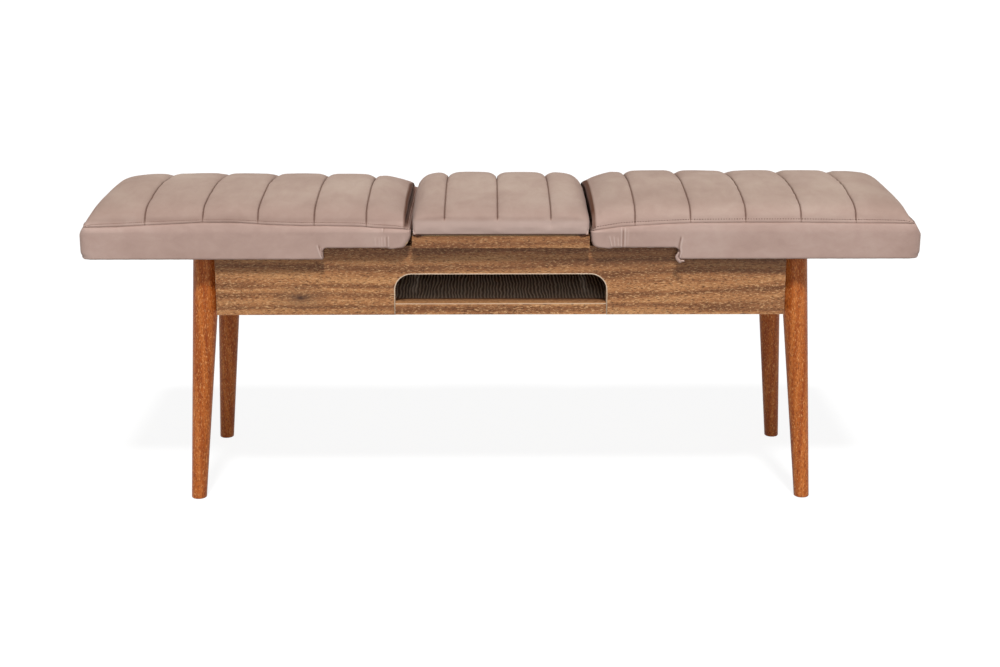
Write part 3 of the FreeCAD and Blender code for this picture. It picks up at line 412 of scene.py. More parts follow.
def stained_beech():
    """Turned beech with an orange brown stain under satin lacquer."""
    def build(n, place):
        upright = n.laid(place, (0.0, math.radians(90), 0.0), (0.0, 0.013, 0.017))
        grain = n.group(GRAIN, {"Vector": upright, "Along": 0.1, "Broad Scale": 40.0,
                                "Streak Scale": 230.0, "Ring Scale": 22.0, "Ring Bend": 4.0,
                                "Pore Scale": 480.0})
        body = n.weighted((grain["Streaks"], 0.45), (grain["Broad"], 0.35), (grain["Rings"], 0.2))
        colour = n.ramp(body, (0.25, 140, 60, 16), (0.48, 178, 92, 32), (0.75, 204, 120, 56))
        colour = n.tinted(colour, grain["Flecks"], 0.8, tone(234, 164, 100))
        colour = n.tinted(colour, grain["Pores"], 0.75, tone(112, 42, 10))
        height = n.math("SUBTRACT", grain["Streaks"], grain["Pores"])
        return {"Base Color": colour, "Roughness": n.spread(grain["Streaks"], 0, 1, 0.4, 0.52),
                "Normal": n.bump(height, 0.15, 0.0002), "Coat Weight": 0.06,
                "Coat Roughness": 0.35, "Specular IOR Level": 0.22}
    return material("orange_stained_beech", build)


def chipboard():
    """Raw chipboard of small glued chips."""
    def build(n, place):
        chips = n.add("ShaderNodeTexVoronoi", {"Vector": n.stretch(place, 1.0, 1.6, 3.0),
                                               "Scale": 260.0}).outputs["Color"]
        shade = n.add("ShaderNodeSeparateColor", {0: chips}).outputs[0]
        return {"Base Color": n.ramp(shade, (0.0, 158, 122, 82), (0.6, 192, 158, 114),
                                     (1.0, 214, 186, 146)),
                "Roughness": n.spread(shade, 0, 1, 0.9, 0.75),
                "Normal": n.bump(shade, 0.3, 0.0004)}
    return material("raw_chipboard", build)


def pale_wood(name, light, dark, scale):
    """Plain planed wood."""
    def build(n, place):
        grain = n.group(GRAIN, {"Vector": place, "Along": 0.06, "Broad Scale": 30.0,
                                "Streak Scale": 150.0, "Ring Scale": scale, "Ring Bend": 4.0,
                                "Pore Scale": 800.0})
        body = n.weighted((grain["Streaks"], 0.5), (grain["Rings"], 0.5))
        colour = n.mix(n.spread(body, 0.25, 0.75), dark, light)
        colour = n.tinted(colour, grain["Pores"], 0.25, dark)
        return {"Base Color": colour, "Roughness": n.spread(grain["Streaks"], 0, 1, 0.6, 0.8),
                "Normal": n.bump(grain["Pores"], 0.15, 0.0002)}
    return material(name, build)


def plated_steel(name, colour, rough):
    """Drawn steel with fine streaks and light scuffs."""
    def build(n, place):
        streaks = n.noise(n.stretch(place, 0.05, 1.0, 1.0), 1800.0, 2.0)
        scuff = n.group(SCUFF, {"Vector": place, "Scale": 60.0})
        dull = n.tinted(colour, scuff["Mask"], 0.4,
                        tuple(0.7 * channel for channel in colour[:3]) + (1.0,))
        return {"Base Color": dull, "Metallic": 1.0,
                "Roughness": n.spread(streaks, 0.2, 0.8, rough - 0.06, rough + 0.08),
                "Normal": n.bump(streaks, 0.08, 0.0001)}
    return material(name, build)


def sewing_thread(name, dark, light):
    """Twisted thread of the border seams, darker than the cover: partly the thread's own colour
    and partly painted shade of its stitch holes.
    """
    def build(n, place):
        twist = n.noise(place, 2600.0, 2.0)
        return {"Base Color": n.ramp(twist, (0.3, *dark), (0.7, *light)),
                "Roughness": n.spread(twist, 0, 1, 0.7, 0.9),
                "Normal": n.bump(twist, 0.3, 0.0002), "Specular IOR Level": 0.2}
    return material(name, build)


VELVET = velvet()
THREADS = {"right": sewing_thread("dark_thread", (66, 44, 36), (96, 70, 58)),
           "left": sewing_thread("taupe_thread", (140, 112, 100), (164, 134, 122))}
EDGE = edge_band()
APRON_WALNUT = walnut("walnut_foil_front", knot=KNOT, top_streak=APRON_TOP_SHADOW)
REAR_WALNUT = walnut("walnut_foil_rear", shift=(1.3, 0.4, 0.07))
LEAF_WALNUT = walnut("walnut_foil_leaf", shift=(0.6, 0.9, 0.21), depth=0.28)
FLOOR_FOIL = striped_floor()
ACROSS_WALNUT = walnut("walnut_foil_ends", turn=90.0, shift=(0.2, 0.3, 0.11))
BEECH = stained_beech()
CHIPS = chipboard()
SOFTWOOD = pale_wood("planed_softwood", tone(214, 184, 140), tone(178, 138, 92), 26.0)
PLYWOOD = pale_wood("birch_plywood", tone(220, 196, 158), tone(186, 150, 108), 60.0)
DOWEL_WOOD = pale_wood("plain_beech", tone(208, 174, 132), tone(176, 136, 96), 40.0)
SLIDE_STEEL = plated_steel("zinc_slide_steel", tone(196, 199, 204), 0.3)
BEARING_STEEL = plated_steel("bearing_steel", tone(170, 173, 178), 0.2)
SCREW_STEEL = plated_steel("zinc_screw_steel", tone(200, 196, 184), 0.34)


# Meshes
def placed(name, mesh):
    """An object that shows a mesh."""
    piece = bpy.data.objects.new(name, mesh)
    scene.collection.objects.link(piece)
    return piece


def sheet(name, points, faces, finish=None, edges=()):
    """Smooth mesh object from points and faces or edges."""
    mesh = bpy.data.meshes.new(name)
    mesh.from_pydata([tuple(p) for p in points], edges, faces)
    mesh.polygons.foreach_set("use_smooth", [True] * len(faces))
    if finish:
        mesh.materials.append(finish)
    return placed(name, mesh)


def closed_piece(name, points, faces, finish):
    """Closed smooth mesh object with its faces turned outwards."""
    piece = sheet(name, points, faces, finish)
    edit = bmesh.new()
    edit.from_mesh(piece.data)
    bmesh.ops.recalc_face_normals(edit, faces=edit.faces)
    edit.to_mesh(piece.data)
    edit.free()
    return piece


def grid_faces(columns, rows, closed=False):
    """Faces between the points of a grid. When closed, the last column joins the first."""
    return [(i * rows + j, (i + 1) % columns * rows + j, (i + 1) % columns * rows + j + 1,
             i * rows + j + 1)
            for i in range(columns if closed else columns - 1) for j in range(rows - 1)]


def point_attribute(piece, name, numbers):
    """A number stored on every point of a piece."""
    attribute = piece.data.attributes.new(name, "FLOAT", "POINT")
    attribute.data.foreach_set("value", np.asarray(numbers, np.float32))


def modifier(piece, kind, **settings):
    """A modifier with its settings."""
    made = piece.modifiers.new(kind.lower(), kind)
    for name, setting in settings.items():
        setattr(made, name, setting)
    return made


def smooth_line(points, step):
    """Points spaced evenly along a smooth line through the given ones."""
    given = np.array(points, float)
    chord = np.r_[0, np.cumsum(np.linalg.norm(np.diff(given, axis=0), axis=1))]
    slopes = np.gradient(given, chord, axis=0)
    fine = np.linspace(0, chord[-1], 60 * len(given))
    k = np.clip(np.searchsorted(chord, fine, side="right") - 1, 0, len(given) - 2)
    width = (chord[k + 1] - chord[k])[:, None]
    t = (fine - chord[k])[:, None] / width
    line = ((2 * t ** 3 - 3 * t ** 2 + 1) * given[k]
            + (t ** 3 - 2 * t ** 2 + t) * width * slopes[k]
            + (3 * t ** 2 - 2 * t ** 3) * given[k + 1]
            + (t ** 3 - t ** 2) * width * slopes[k + 1])
    run = np.r_[0, np.cumsum(np.linalg.norm(np.diff(line, axis=0), axis=1))]
    even = np.linspace(0, run[-1], max(2, round(run[-1] / step) + 1))
    return np.stack([np.interp(even, run, line[:, axis]) for axis in (0, 1)], axis=1)


def ease(share):
    """Smooth step from 0 to 1."""
    held = np.clip(share, 0.0, 1.0)
    return held * held * (3 - 2 * held)


def eased(share):
    """The same smooth step of one number."""
    return float(ease(share))


def bell(distance, width):
    """1 at no distance, fading to 0 beyond a width."""
    return math.exp(-(distance / width) ** 2)


def soft_noise(points, scale, seed):
    """Smooth noise about 0 at each point, the same on every run."""
    shift = Vector((seed * 7.3, seed * 3.1, seed * 5.7))
    return np.array([noise.noise(Vector(p) * scale + shift) for p in points])


# Sections of the padding in millimetres: (in from the widest line, up from the rim). The
# heights are scaled to each seat's own rise.
LEFT_FRONT = ((4.6, 0), (3.5, 1.2), (4.0, 6.5), (5.5, 11.1), (9, 16.2), (15, 20.9), (23, 24.4),
              (35, 27.2), (51, 29.7), (70, 32), (95, 34.7), (125, 36.7), (155, 37.8), (185, 38))
RIGHT_FRONT = ((4.6, 0), (3.5, 1.2), (4.0, 5.5), (5.5, 10.2), (9, 15.4), (15, 20), (23, 23.6),
               (35, 26.6), (51, 29.3), (70, 32), (95, 34.9), (125, 36.8), (155, 37.8), (185, 38))
HALF_REAR = ((4.6, 0), (3.5, 1.2), (4.0, 5), (5.5, 9), (9, 12.4), (15, 15), (25, 17.6),
             (40, 20.3), (60, 24.3), (85, 29.8), (105, 33.8), (122, 36), (145, 37.4), (172, 38))
LEAF_FRONT = ((9, 0), (5, 0.9), (1.6, 3.6), (0.2, 8), (0, 13), (0.3, 20), (0.3, 26), (1.4, 31),
              (5, 35.5), (12, 39), (25, 43), (50, 47.4), (93, 52.7), (135, 56.6), (180, 58))
LEAF_REAR = ((9, 0), (5, 0.9), (1.6, 3.6), (0.2, 8), (0, 13), (0.4, 20), (1.0, 26), (4, 31),
             (9, 35), (18, 38.4), (32, 41.4), (52, 45.4), (76, 50), (98, 53.8), (122, 56.6),
             (172, 58))
LEFT_OUTER_END = ((9.6, 0), (8.5, 1.2), (9.0, 5.8), (10, 8.3), (11.2, 11.3), (13.6, 16.1),
                  (16.6, 21.2), (21, 27), (27, 31), (36, 33.7), (57, 36.2), (84, 37.4),
                  (112, 38))
RIGHT_OUTER_END = ((13.2, 0), (12.1, 1.2), (14.8, 4.4), (16.8, 7.5), (19.4, 12.3), (21.8, 17.5),
                   (25.5, 24), (31, 29.2), (39, 32.4), (58, 35.3), (85, 37), (114, 38))
LEFT_INNER_END = ((2.0, 0), (1.4, 1.2), (3.4, 3), (6.4, 5.6), (8.6, 8.6), (9.2, 12), (8.6, 16),
                  (8, 19), (8.2, 21), (10.2, 23.2), (14, 25.4), (20, 27.8), (28, 30.2),
                  (47, 34.6), (80, 37.6), (112, 38))
RIGHT_INNER_END = ((1.6, 0), (1.0, 1.2), (2.2, 3.4), (3.9, 6), (4.8, 9.3), (4.6, 13.8), (3, 18),
                   (1.4, 21), (1.4, 22.6), (4, 24.6), (11, 26.8), (18, 29.4), (27.5, 32.1),
                   (44, 35.7), (65, 37.6), (96, 38))
LEAF_END = ((14, 0), (9, 1.1), (4.6, 3.8), (1.8, 8), (0.2, 13.5), (0, 20), (0.2, 30), (1, 38),
            (3, 43.5), (6, 47.5), (11, 50.8), (21, 54.4), (37, 57.2), (64, 58))
# How far the border seam lies from its own level: (out from the inner end, up)
LEFT_RIM = ((0, -11), (12, -10), (25, -9.2), (52, -8.4), (80, -5.9), (130, -4.9), (166, -4.9),
            (218, -3), (270, 0.5), (319, 0.5), (357, -1.3), (409, -3.8), (445, -5.9), (475, -6.7),
            (520, -6.7))
RIGHT_RIM = ((0, -13.5), (12, -11.4), (29, -9.2), (46, -6.7), (67, -5.5), (110, -3), (153, -1),
             (237, -0.5), (323, -0.5), (407, -1.7), (480, -2.1), (520, -2.1))
COLUMN_STEPS = (0.5, 0.6, 0.8, 1.0, 1.3, 1.7, 2.2, 2.8, 3.4, 3.8)
PAD_STEP = 1.9
CLOTH_STEP = 6.5
WALL_REACH = 16 * MM
GROOVE_WIDTH = 18 * MM
CREASE_WIDTH = 0.9 * MM
CREASE_DEPTH = 1.6 * MM
PUFF_MOST = 2.2 * MM
UNEVEN = 1.0 * MM
PUCKER = 1.3 * MM
SETTLE = 5 * MM
STITCH_LIFT = 0.25 * MM
CLOTH_PRESSURE = 4.0
CLOTH_STIFFNESS = 0.4
CLOTH_FRAMES = 20
# Rings of the closed underside: (share of the way out from the middle, share of the drop)
UNDER_RINGS = ((0.988, 0.15), (0.97, 1.0), (0.6, 1.0), (0.25, 1.0))


def clustered(start, stop, seam_at_start, seam_at_stop):
    """Places from start up to stop, close together where a seam is."""
    steps = [step * MM for step in COLUMN_STEPS]

    def away(length, from_seam):
        places = [0.0]
        while places[-1] < length:
            nth = min(len(places) - 1, len(steps) - 1) if from_seam else len(steps) - 1
            places.append(places[-1] + steps[nth])
        return np.array(places) * length / places[-1]

    if seam_at_start and seam_at_stop:
        middle = (stop - start) / 2
        first = start + away(middle, True)
        return list(first[:-1]) + [start + middle] + list((stop - away(middle, True))[::-1][1:-1])
    if seam_at_start:
        return list(start + away(stop - start, True))[:-1]
    return list((stop - away(stop - start, seam_at_stop))[::-1])[:-1]


def rounded_corner(in_x, in_y, radius):
    """Insets near a square corner moved onto a round one."""
    p = np.clip((radius - in_x) / radius, 0.0, 1.1)
    q = np.clip((radius - in_y) / radius, 0.0, 1.1)
    inside = (p > 0) & (q > 0)
    new_x = np.where(inside, radius * (1 - p * np.sqrt(1 - q ** 2 / 2)), in_x)
    new_y = np.where(inside, radius * (1 - q * np.sqrt(1 - p ** 2 / 2)), in_y)
    return new_x, new_y


def groove(x, seams, width):
    """1 on a seam, 0 a width away from it, like the gap between two round channels."""
    near = np.min(np.abs(np.asarray(x)[:, None] - np.asarray(seams)[None, :]), axis=1)
    share = np.clip(near / width, 0.0, 1.0)
    return 1 - np.sqrt(1 - (1 - share) ** 2), near


def grid_normals(grid):
    """Unit normals of a grid of points, upwards on its top."""
    normals = np.cross(np.gradient(grid, axis=0), np.gradient(grid, axis=1))
    normals /= np.maximum(np.linalg.norm(normals, axis=2, keepdims=True), 1e-12)
    middle = normals[normals.shape[0] // 2, normals.shape[1] // 2, 2]
    return normals if middle > 0 else -normals


def steps_along(points):
    """How far along a line each of its points lies."""
    return np.r_[0, np.cumsum(np.linalg.norm(np.diff(points, axis=0), axis=1))]


class Padding:
    """One padded seat: a grid over its top and walls, drawn in along its sewn seams."""

    def __init__(self, low, high, foot, rise, walls, ends, seams, radii, rim=None, fade=None,
                 sink=4.2, seed=1, end_shade=9.0):
        self.low, self.high, self.half = low, high, HALF_DEPTH
        self.foot, self.rise = foot, rise
        self.walls, self.ends = walls, ends
        self.seams, self.radii, self.rim = seams, radii, rim
        self.fade, self.sink, self.seed = fade, sink * MM, seed
        self.end_shade = end_shade * MM

    def rim_level(self, x):
        """Level of the padding's lower rim."""
        if self.rim is None:
            return np.full(np.shape(x), self.foot)
        table = np.array(self.rim) * MM
        return self.foot + np.interp(np.abs(x) - INNER, table[:, 0], table[:, 1])

    def columns(self, step, even):
        """Columns along the bench: place, fullness and run along the cover."""
        top = self.walls[0][-1][1] * MM
        (low_line, low_wall), (high_line, high_wall) = [
            (line, line[:int(np.argmax(line[:, 0] > WALL_REACH))])
            for line in (smooth_line(points, step) * MM for points in self.ends)]
        stops = [self.low + WALL_REACH] + list(self.seams) + [self.high - WALL_REACH]
        inner = []
        for k in range(len(stops) - 1):
            if even:
                count = round((stops[k + 1] - stops[k]) / (step * MM))
                inner += list(np.linspace(stops[k], stops[k + 1], count + 1)[:-1])
            else:
                inner += clustered(stops[k], stops[k + 1], k > 0, k < len(stops) - 2)
        inner = np.array(inner + [stops[-1]])
        place = np.r_[self.low + low_wall[:, 0], inner, self.high - high_wall[::-1, 0]]
        from_low = np.r_[low_wall[:, 1], np.interp(inner - self.low, low_line[:, 0],
                                                   low_line[:, 1]), np.full(len(high_wall), top)]
        from_high = np.r_[np.full(len(low_wall), top),
                          np.interp(self.high - inner, high_line[:, 0], high_line[:, 1]),
                          high_wall[::-1, 1]]
        run = steps_along(np.stack([place, from_low + from_high], axis=1))
        return place, (from_low / top) * (from_high / top), run / run[-1]

    def grid(self, step, even=False):
        """Points of the smooth padding before its seams are drawn in."""
        top = self.walls[0][-1][1] * MM
        front, rear = [smooth_line(wall, step) * MM for wall in self.walls]
        reach = front[-1, 0] + rear[-1, 0]
        front[:, 0] *= 2 * self.half / reach
        rear[:, 0] *= 2 * self.half / reach
        y = np.r_[-self.half + front[:, 0], self.half - rear[-2::-1, 0]]
        in_y = self.half - np.abs(y)
        full_y = np.r_[front[:, 1], rear[-2::-1, 1]] / top
        run_y = steps_along(np.stack([y, full_y * top], axis=1))
        x, full_x, run_x = self.columns(step, even)
        in_x = np.minimum(x - self.low, self.high - x)
        grid = np.zeros((len(x), len(y), 3))
        rim = self.rim_level(x)
        for i, place in enumerate(x):
            at_low = place - self.low < self.high - place
            inset_x, inset_y = rounded_corner(np.full(len(y), in_x[i]), in_y,
                                              self.radii[0 if at_low else 1])
            grid[i, :, 0] = self.low + inset_x if at_low else self.high - inset_x
            grid[i, :, 1] = np.sign(y) * (self.half - inset_y)
            full = full_x[i] * full_y
            grid[i, :, 2] = rim[i] + (self.foot + self.rise - rim[i]) * full
        return grid, x, (run_x, run_y / run_y[-1])

    def puffed(self, runs):
        """How far the cover swells between its seams, from a cloth simulation."""
        grid, x, (run_x, run_y) = self.grid(CLOTH_STEP, even=True)
        columns, rows = grid.shape[:2]
        near = groove(x, self.seams, 1.0)[1]
        held = np.zeros((columns, rows))
        held[near < 0.5 * MM, :] = 1.0
        held[:2, :] = held[-2:, :] = 1.0
        held[:, :2] = held[:, -2:] = 1.0
        points, faces = closed_grid(grid, self.foot - 12 * MM)
        cloth = sheet("cloth", points, faces)
        pins = cloth.vertex_groups.new(name="pins")
        flat = held.reshape(-1)
        pins.add([int(k) for k in np.nonzero(flat)[0]] + list(range(len(flat), len(points))),
                 1.0, "REPLACE")
        settings = modifier(cloth, "CLOTH").settings
        settings.vertex_group_mass = "pins"
        settings.use_pressure = True
        settings.uniform_pressure_force = CLOTH_PRESSURE
        settings.effector_weights.gravity = 0.0
        settings.bending_stiffness = CLOTH_STIFFNESS
        for frame_number in range(1, CLOTH_FRAMES + 1):
            scene.frame_set(frame_number)
        moved = cloth.evaluated_get(bpy.context.evaluated_depsgraph_get()).to_mesh()
        after = np.zeros(len(moved.vertices) * 3)
        moved.vertices.foreach_get("co", after)
        after = after.reshape(-1, 3)[:len(flat)].reshape(grid.shape)
        bpy.data.objects.remove(cloth)
        scene.frame_set(1)
        push = np.sum((after - grid) * grid_normals(grid), axis=2)
        most = max(float(np.percentile(np.abs(push), 97)), 1e-6)
        push = np.clip(push * PUFF_MOST / most, -PUFF_MOST, PUFF_MOST)
        print("cloth", round(most / MM, 2), "mm over", columns * rows, "points")
        along = np.stack([np.interp(runs[0], run_x, push[:, j]) for j in range(rows)], axis=1)
        return np.stack([np.interp(runs[1], run_y, row) for row in along])

    def drawn_in(self, grid, x, runs):
        """The grid with soft channels, sharp creases and puckers along the seams, and its painted
        shading.
        """
        soft, near = groove(x, self.seams, GROOVE_WIDTH)
        sharp = np.exp(-(near / CREASE_WIDTH) ** 2)
        normals = grid_normals(grid)
        height = grid[:, :, 2] - self.rim_level(x)[:, None]
        if self.fade:
            taper = ease((height - self.fade[0]) / (self.fade[1] - self.fade[0]))
        else:
            taper = 0.5 + 0.5 * ease(height / (12 * MM))
        flat = grid.reshape(-1, 3)
        broad = soft_noise(flat, 14.0, self.seed).reshape(height.shape)
        small = soft_noise(flat * np.array([0.3, 1.0, 1.0]), 85.0, self.seed + 3)
        small = small.reshape(height.shape) * np.exp(-(near / (11 * MM)))[:, None]
        settled = ease(height / SETTLE)
        behind = 1 + 1.3 * ease((grid[:, :, 1] + 0.04) / 0.1)
        push = (-self.sink * soft[:, None] * taper * behind
                - CREASE_DEPTH * sharp[:, None] * taper
                + (UNEVEN * broad + PUCKER * small) * settled)
        push += self.puffed(runs) * settled - 0.5 * PUFF_MOST * settled
        push *= np.maximum(settled, 0.0 if self.fade else 0.45)
        # Painted shade along the sewn seams
        painted_shading = sharp[:, None] * taper
        drawn = grid + normals * push[:, :, None]
        if self.fade:
            # The leaf: painted light on its lower front, over a painted shadow line where it meets
            # its board
            painted_shading = painted_shading - 0.5 * ease((28 * MM - height) / (8 * MM))
            painted_shading = np.maximum(painted_shading, ease((2.8 * MM - height) / (1.3 * MM)) * 1.9 - 0.5)
            return drawn, painted_shading, np.zeros(height.shape)
        # A half: painted shade on its inner end, deeper towards the back, and painted shade over
        # the border seam and on its outer end
        inner = (np.abs(x) - INNER)[:, None]
        end_shade = 1.05 + 0.33 * ease((grid[:, :, 1] + 0.17) / 0.03)
        end_shade = end_shade * ease((self.end_shade - inner) / (2.5 * MM))
        painted_shading = np.maximum(painted_shading, end_shade * settled)
        ends = 0.5 * ease(2.5 - (HALF_LENGTH - inner) / (40 * MM))
        slope_and_end_shade = 0.2 * ease((15 * MM - height) / (9 * MM)) * ease((height + 1 * MM) / (4 * MM))
        return drawn, painted_shading, np.maximum(slope_and_end_shade, ends)

    def build(self, name, bottom):
        """The finished, closed piece."""
        grid, x, runs = self.grid(PAD_STEP)
        grid, painted_shading, slope_and_end_shade = self.drawn_in(grid, x, runs)
        outside = grid + grid_normals(grid) * STITCH_LIFT
        self.seam_loop = np.concatenate([outside[3:-4, 3], outside[-4, 3:-4],
                                         outside[-4:3:-1, -4], outside[3, -4:3:-1]])
        points, faces = closed_grid(grid, bottom)
        piece = closed_piece(name, points, faces, VELVET)
        unseen = np.zeros(len(points) - painted_shading.size)
        point_attribute(piece, "painted_shading", np.r_[painted_shading.reshape(-1), unseen])
        point_attribute(piece, "slope_and_end_shade", np.r_[slope_and_end_shade.reshape(-1), unseen])
        return piece


def closed_grid(grid, bottom):
    """Points and faces of a grid with a flat underside added inside its rim."""
    columns, rows = grid.shape[:2]
    points = list(grid.reshape(-1, 3))
    faces = grid_faces(columns, rows)
    rim = ([i * rows for i in range(columns)]
           + [(columns - 1) * rows + j for j in range(1, rows)]
           + [i * rows + rows - 1 for i in range(columns - 2, -1, -1)]
           + [j for j in range(rows - 2, 0, -1)])
    low, high = grid.reshape(-1, 3).min(axis=0), grid.reshape(-1, 3).max(axis=0)
    centre = np.array([(low[0] + high[0]) / 2, (low[1] + high[1]) / 2, bottom])
    previous = rim
    for share, level in UNDER_RINGS:
        ring = []
        for index in rim:
            point = centre + (points[index] - centre) * share
            point[2] = points[index][2] + (bottom - points[index][2]) * level
            ring.append(len(points))
            points.append(point)
        faces += [(previous[k - 1], previous[k], ring[k], ring[k - 1]) for k in range(len(rim))]
        previous = ring
    points.append(centre)
    faces += [(previous[k - 1], previous[k], len(points) - 1) for k in range(len(rim))]
    return points, faces


# Places of the seats, from the frame
half_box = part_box("right_seat_cushion")
leaf_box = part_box("leaf_cushion")
INNER = half_box[0].x
OUTER = half_box[1].x
HALF_DEPTH = 0.180
HALF_LENGTH = OUTER - INNER
BOARD_TOP = half_box[0].z
SEAM_LEVEL = BOARD_TOP + 20.5 * MM
LEAF_FOOT = leaf_box[0].z + 1.2 * MM
RIGHT_SEAMS = (0.206, 0.291, 0.376, 0.461, 0.5455)
LEFT_SEAMS = (-0.5452, -0.4565, -0.3721, -0.2860, -0.2061)
LEAF_SEAMS = (-0.0862, -0.0051, 0.0767)
INNER_RADIUS = 9 * MM
OUTER_RADIUS = 22 * MM

PADDINGS = {
    "right": Padding(INNER, OUTER, SEAM_LEVEL, 0.042, (RIGHT_FRONT, HALF_REAR),
                     (RIGHT_INNER_END, RIGHT_OUTER_END), RIGHT_SEAMS,
                     (INNER_RADIUS, OUTER_RADIUS), RIGHT_RIM, seed=2),
    "left": Padding(-OUTER, -INNER, SEAM_LEVEL, 0.0372, (LEFT_FRONT, HALF_REAR),
                    (LEFT_OUTER_END, LEFT_INNER_END), LEFT_SEAMS,
                    (OUTER_RADIUS, INNER_RADIUS), LEFT_RIM, seed=5, end_shade=12.5),
    "leaf": Padding(leaf_box[0].x, leaf_box[1].x, LEAF_FOOT, 0.0573, (LEAF_FRONT, LEAF_REAR),
                    (LEAF_END, LEAF_END), LEAF_SEAMS, (INNER_RADIUS, INNER_RADIUS),
                    fade=(21 * MM, 29 * MM), seed=8)}


def make_seats():
    """The two sliding seats and the leaf's cushion."""
    for word, node, body, bottom in (("right", "right_seat_cushion", "right_half", BOARD_TOP),
                                     ("left", "left_seat_cushion", "left_half", BOARD_TOP),
                                     ("leaf", "leaf_cushion", "leaf", LEAF_FOOT)):
        piece = PADDINGS[word].build(f"{word}_padded_seat", bottom + 0.1 * MM)
        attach(piece, body)
        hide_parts(node)


make_seats()


# Fabric band round each sliding seat
SKIRT_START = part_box("right_rear_skirt")[0].x
SKIRT_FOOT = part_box("right_rear_skirt")[0].z
BOARD_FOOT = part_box("right_seat_board")[0].z
APRON_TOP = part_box("front_apron")[1].z
BAND_ROWS = 30
BAND_WRAP = 11 * MM
BAND_FOLD = 2.6 * MM
# Rounding of the inner end's lower edge: (down from its start, in from the end)
END_PROFILES = {"left": ((0, 0), (4, 1.0), (9.5, 4.0), (13, 6.2), (15.5, 8.0), (17.5, 10.2),
                         (19.8, 12.6)),
                "right": ((0, 0), (8, 0.5), (14, 2.6), (17, 6.4), (19.8, 11.4))}
CORNER_ROUND = 10 * MM
CORNER_UNDER = 6.0 * MM
END_ROUND_LEVEL = BOARD_FOOT + 17 * MM
FLAT_TOP = 0.4405
FABRIC = 1.1 * MM
# Lower edge at the step in the battens: (from the step, share of the drop)
STEP_EDGE = ((-8.5, 0), (-5, 0.06), (-2.5, 0.2), (-1, 0.42), (-0.2, 0.7), (0.3, 1))
RIM_INSETS = {"left": (1.4, 8.5), "right": (1.0, 12.1)}
OUTER_SLOPE = {"left": 1.5, "right": 1.15}
OUTER_FLAT_TOP = 0.434
LONG_RIM_INSET = 3.5
# How the band sags under the board's corner, stands out under the border seam, flares at the step,
# and takes painted shade under the board's edge and on its inner end
SAG_DEPTH = 1.7 * MM
SAG_PLACE = 20 * MM
SAG_WIDTH = 9 * MM
LIP = 1.5 * MM
OUTER_LIP_SHARE = 0.4
BOARD_EDGE_LEVEL = 0.4145
BOARD_EDGE_SHADE = 0.75
INNER_SHADE = 1.25
FLARE_LEVEL = 0.4075
FLARE = 1.8 * MM
CORNER_PLACES = 9
END_PLACES = 70
STRAIGHT_FROM = 50 * MM


def band_stations():
    """Places round the seat: (side, zone, place), closer together near folds."""
    corner = [k / CORNER_PLACES for k in range(CORNER_PLACES)]
    long_side = []
    x = INNER + INNER_RADIUS
    while x < OUTER - OUTER_RADIUS:
        long_side.append(x)
        x += 1.0 * MM if x < INNER + 62 * MM or abs(x - SKIRT_START) < 13 * MM else 5 * MM
    outer = np.linspace(-HALF_DEPTH + OUTER_RADIUS, HALF_DEPTH - OUTER_RADIUS, END_PLACES)[:-1]
    inner = np.linspace(HALF_DEPTH - INNER_RADIUS, -HALF_DEPTH + INNER_RADIUS, END_PLACES)[:-1]
    found = []
    for side, first, middle, last in (("front", "inner", long_side, "outer"),
                                      ("outer", "front", outer, "rear"),
                                      ("rear", "outer", long_side[::-1], "inner"),
                                      ("inner", "rear", inner, "front")):
        found += [(side, first, t) for t in corner]
        found += [(side, "middle", place) for place in middle]
        found += [(side, last, t) for t in corner]
    return found


def band_place(station, inner_inset, outer_inset, long_inset, arc, outer_arc):
    """Plan position of a station at the given insets."""
    side, zone, at = station
    if side in ("front", "rear"):
        sign = -1 if side == "front" else 1
        if zone == "middle":
            moved = at + arc * (1 - eased((at - INNER - INNER_RADIUS) / STRAIGHT_FROM))
            moved -= outer_arc * (1 - eased((OUTER - OUTER_RADIUS - at) / STRAIGHT_FROM))
            return moved, sign * (HALF_DEPTH - long_inset)
        if zone == "inner":
            along = inner_inset + (INNER_RADIUS - inner_inset) * at
            in_x, in_y = rounded_corner(along, long_inset, INNER_RADIUS)
            return INNER + arc + float(in_x), sign * (HALF_DEPTH - float(in_y))
        along = OUTER_RADIUS + (outer_inset - OUTER_RADIUS) * at
        in_x, in_y = rounded_corner(along, long_inset, OUTER_RADIUS)
        return OUTER - outer_arc - float(in_x), sign * (HALF_DEPTH - float(in_y))
    radius, own = ((OUTER_RADIUS, outer_inset) if side == "outer"
                   else (INNER_RADIUS, inner_inset))
    if zone == "middle":
        x = OUTER - outer_arc - own if side == "outer" else INNER + arc + own
        return x, at
    first = (side, zone) in (("outer", "front"), ("inner", "rear"))
    share = at if first else 1 - at
    sign = -1 if zone == "front" else 1
    in_x, in_y = rounded_corner(own, long_inset + (radius - long_inset) * share, radius)
    x = OUTER - outer_arc - float(in_x) if side == "outer" else INNER + arc + float(in_x)
    return x, sign * (HALF_DEPTH - float(in_y))


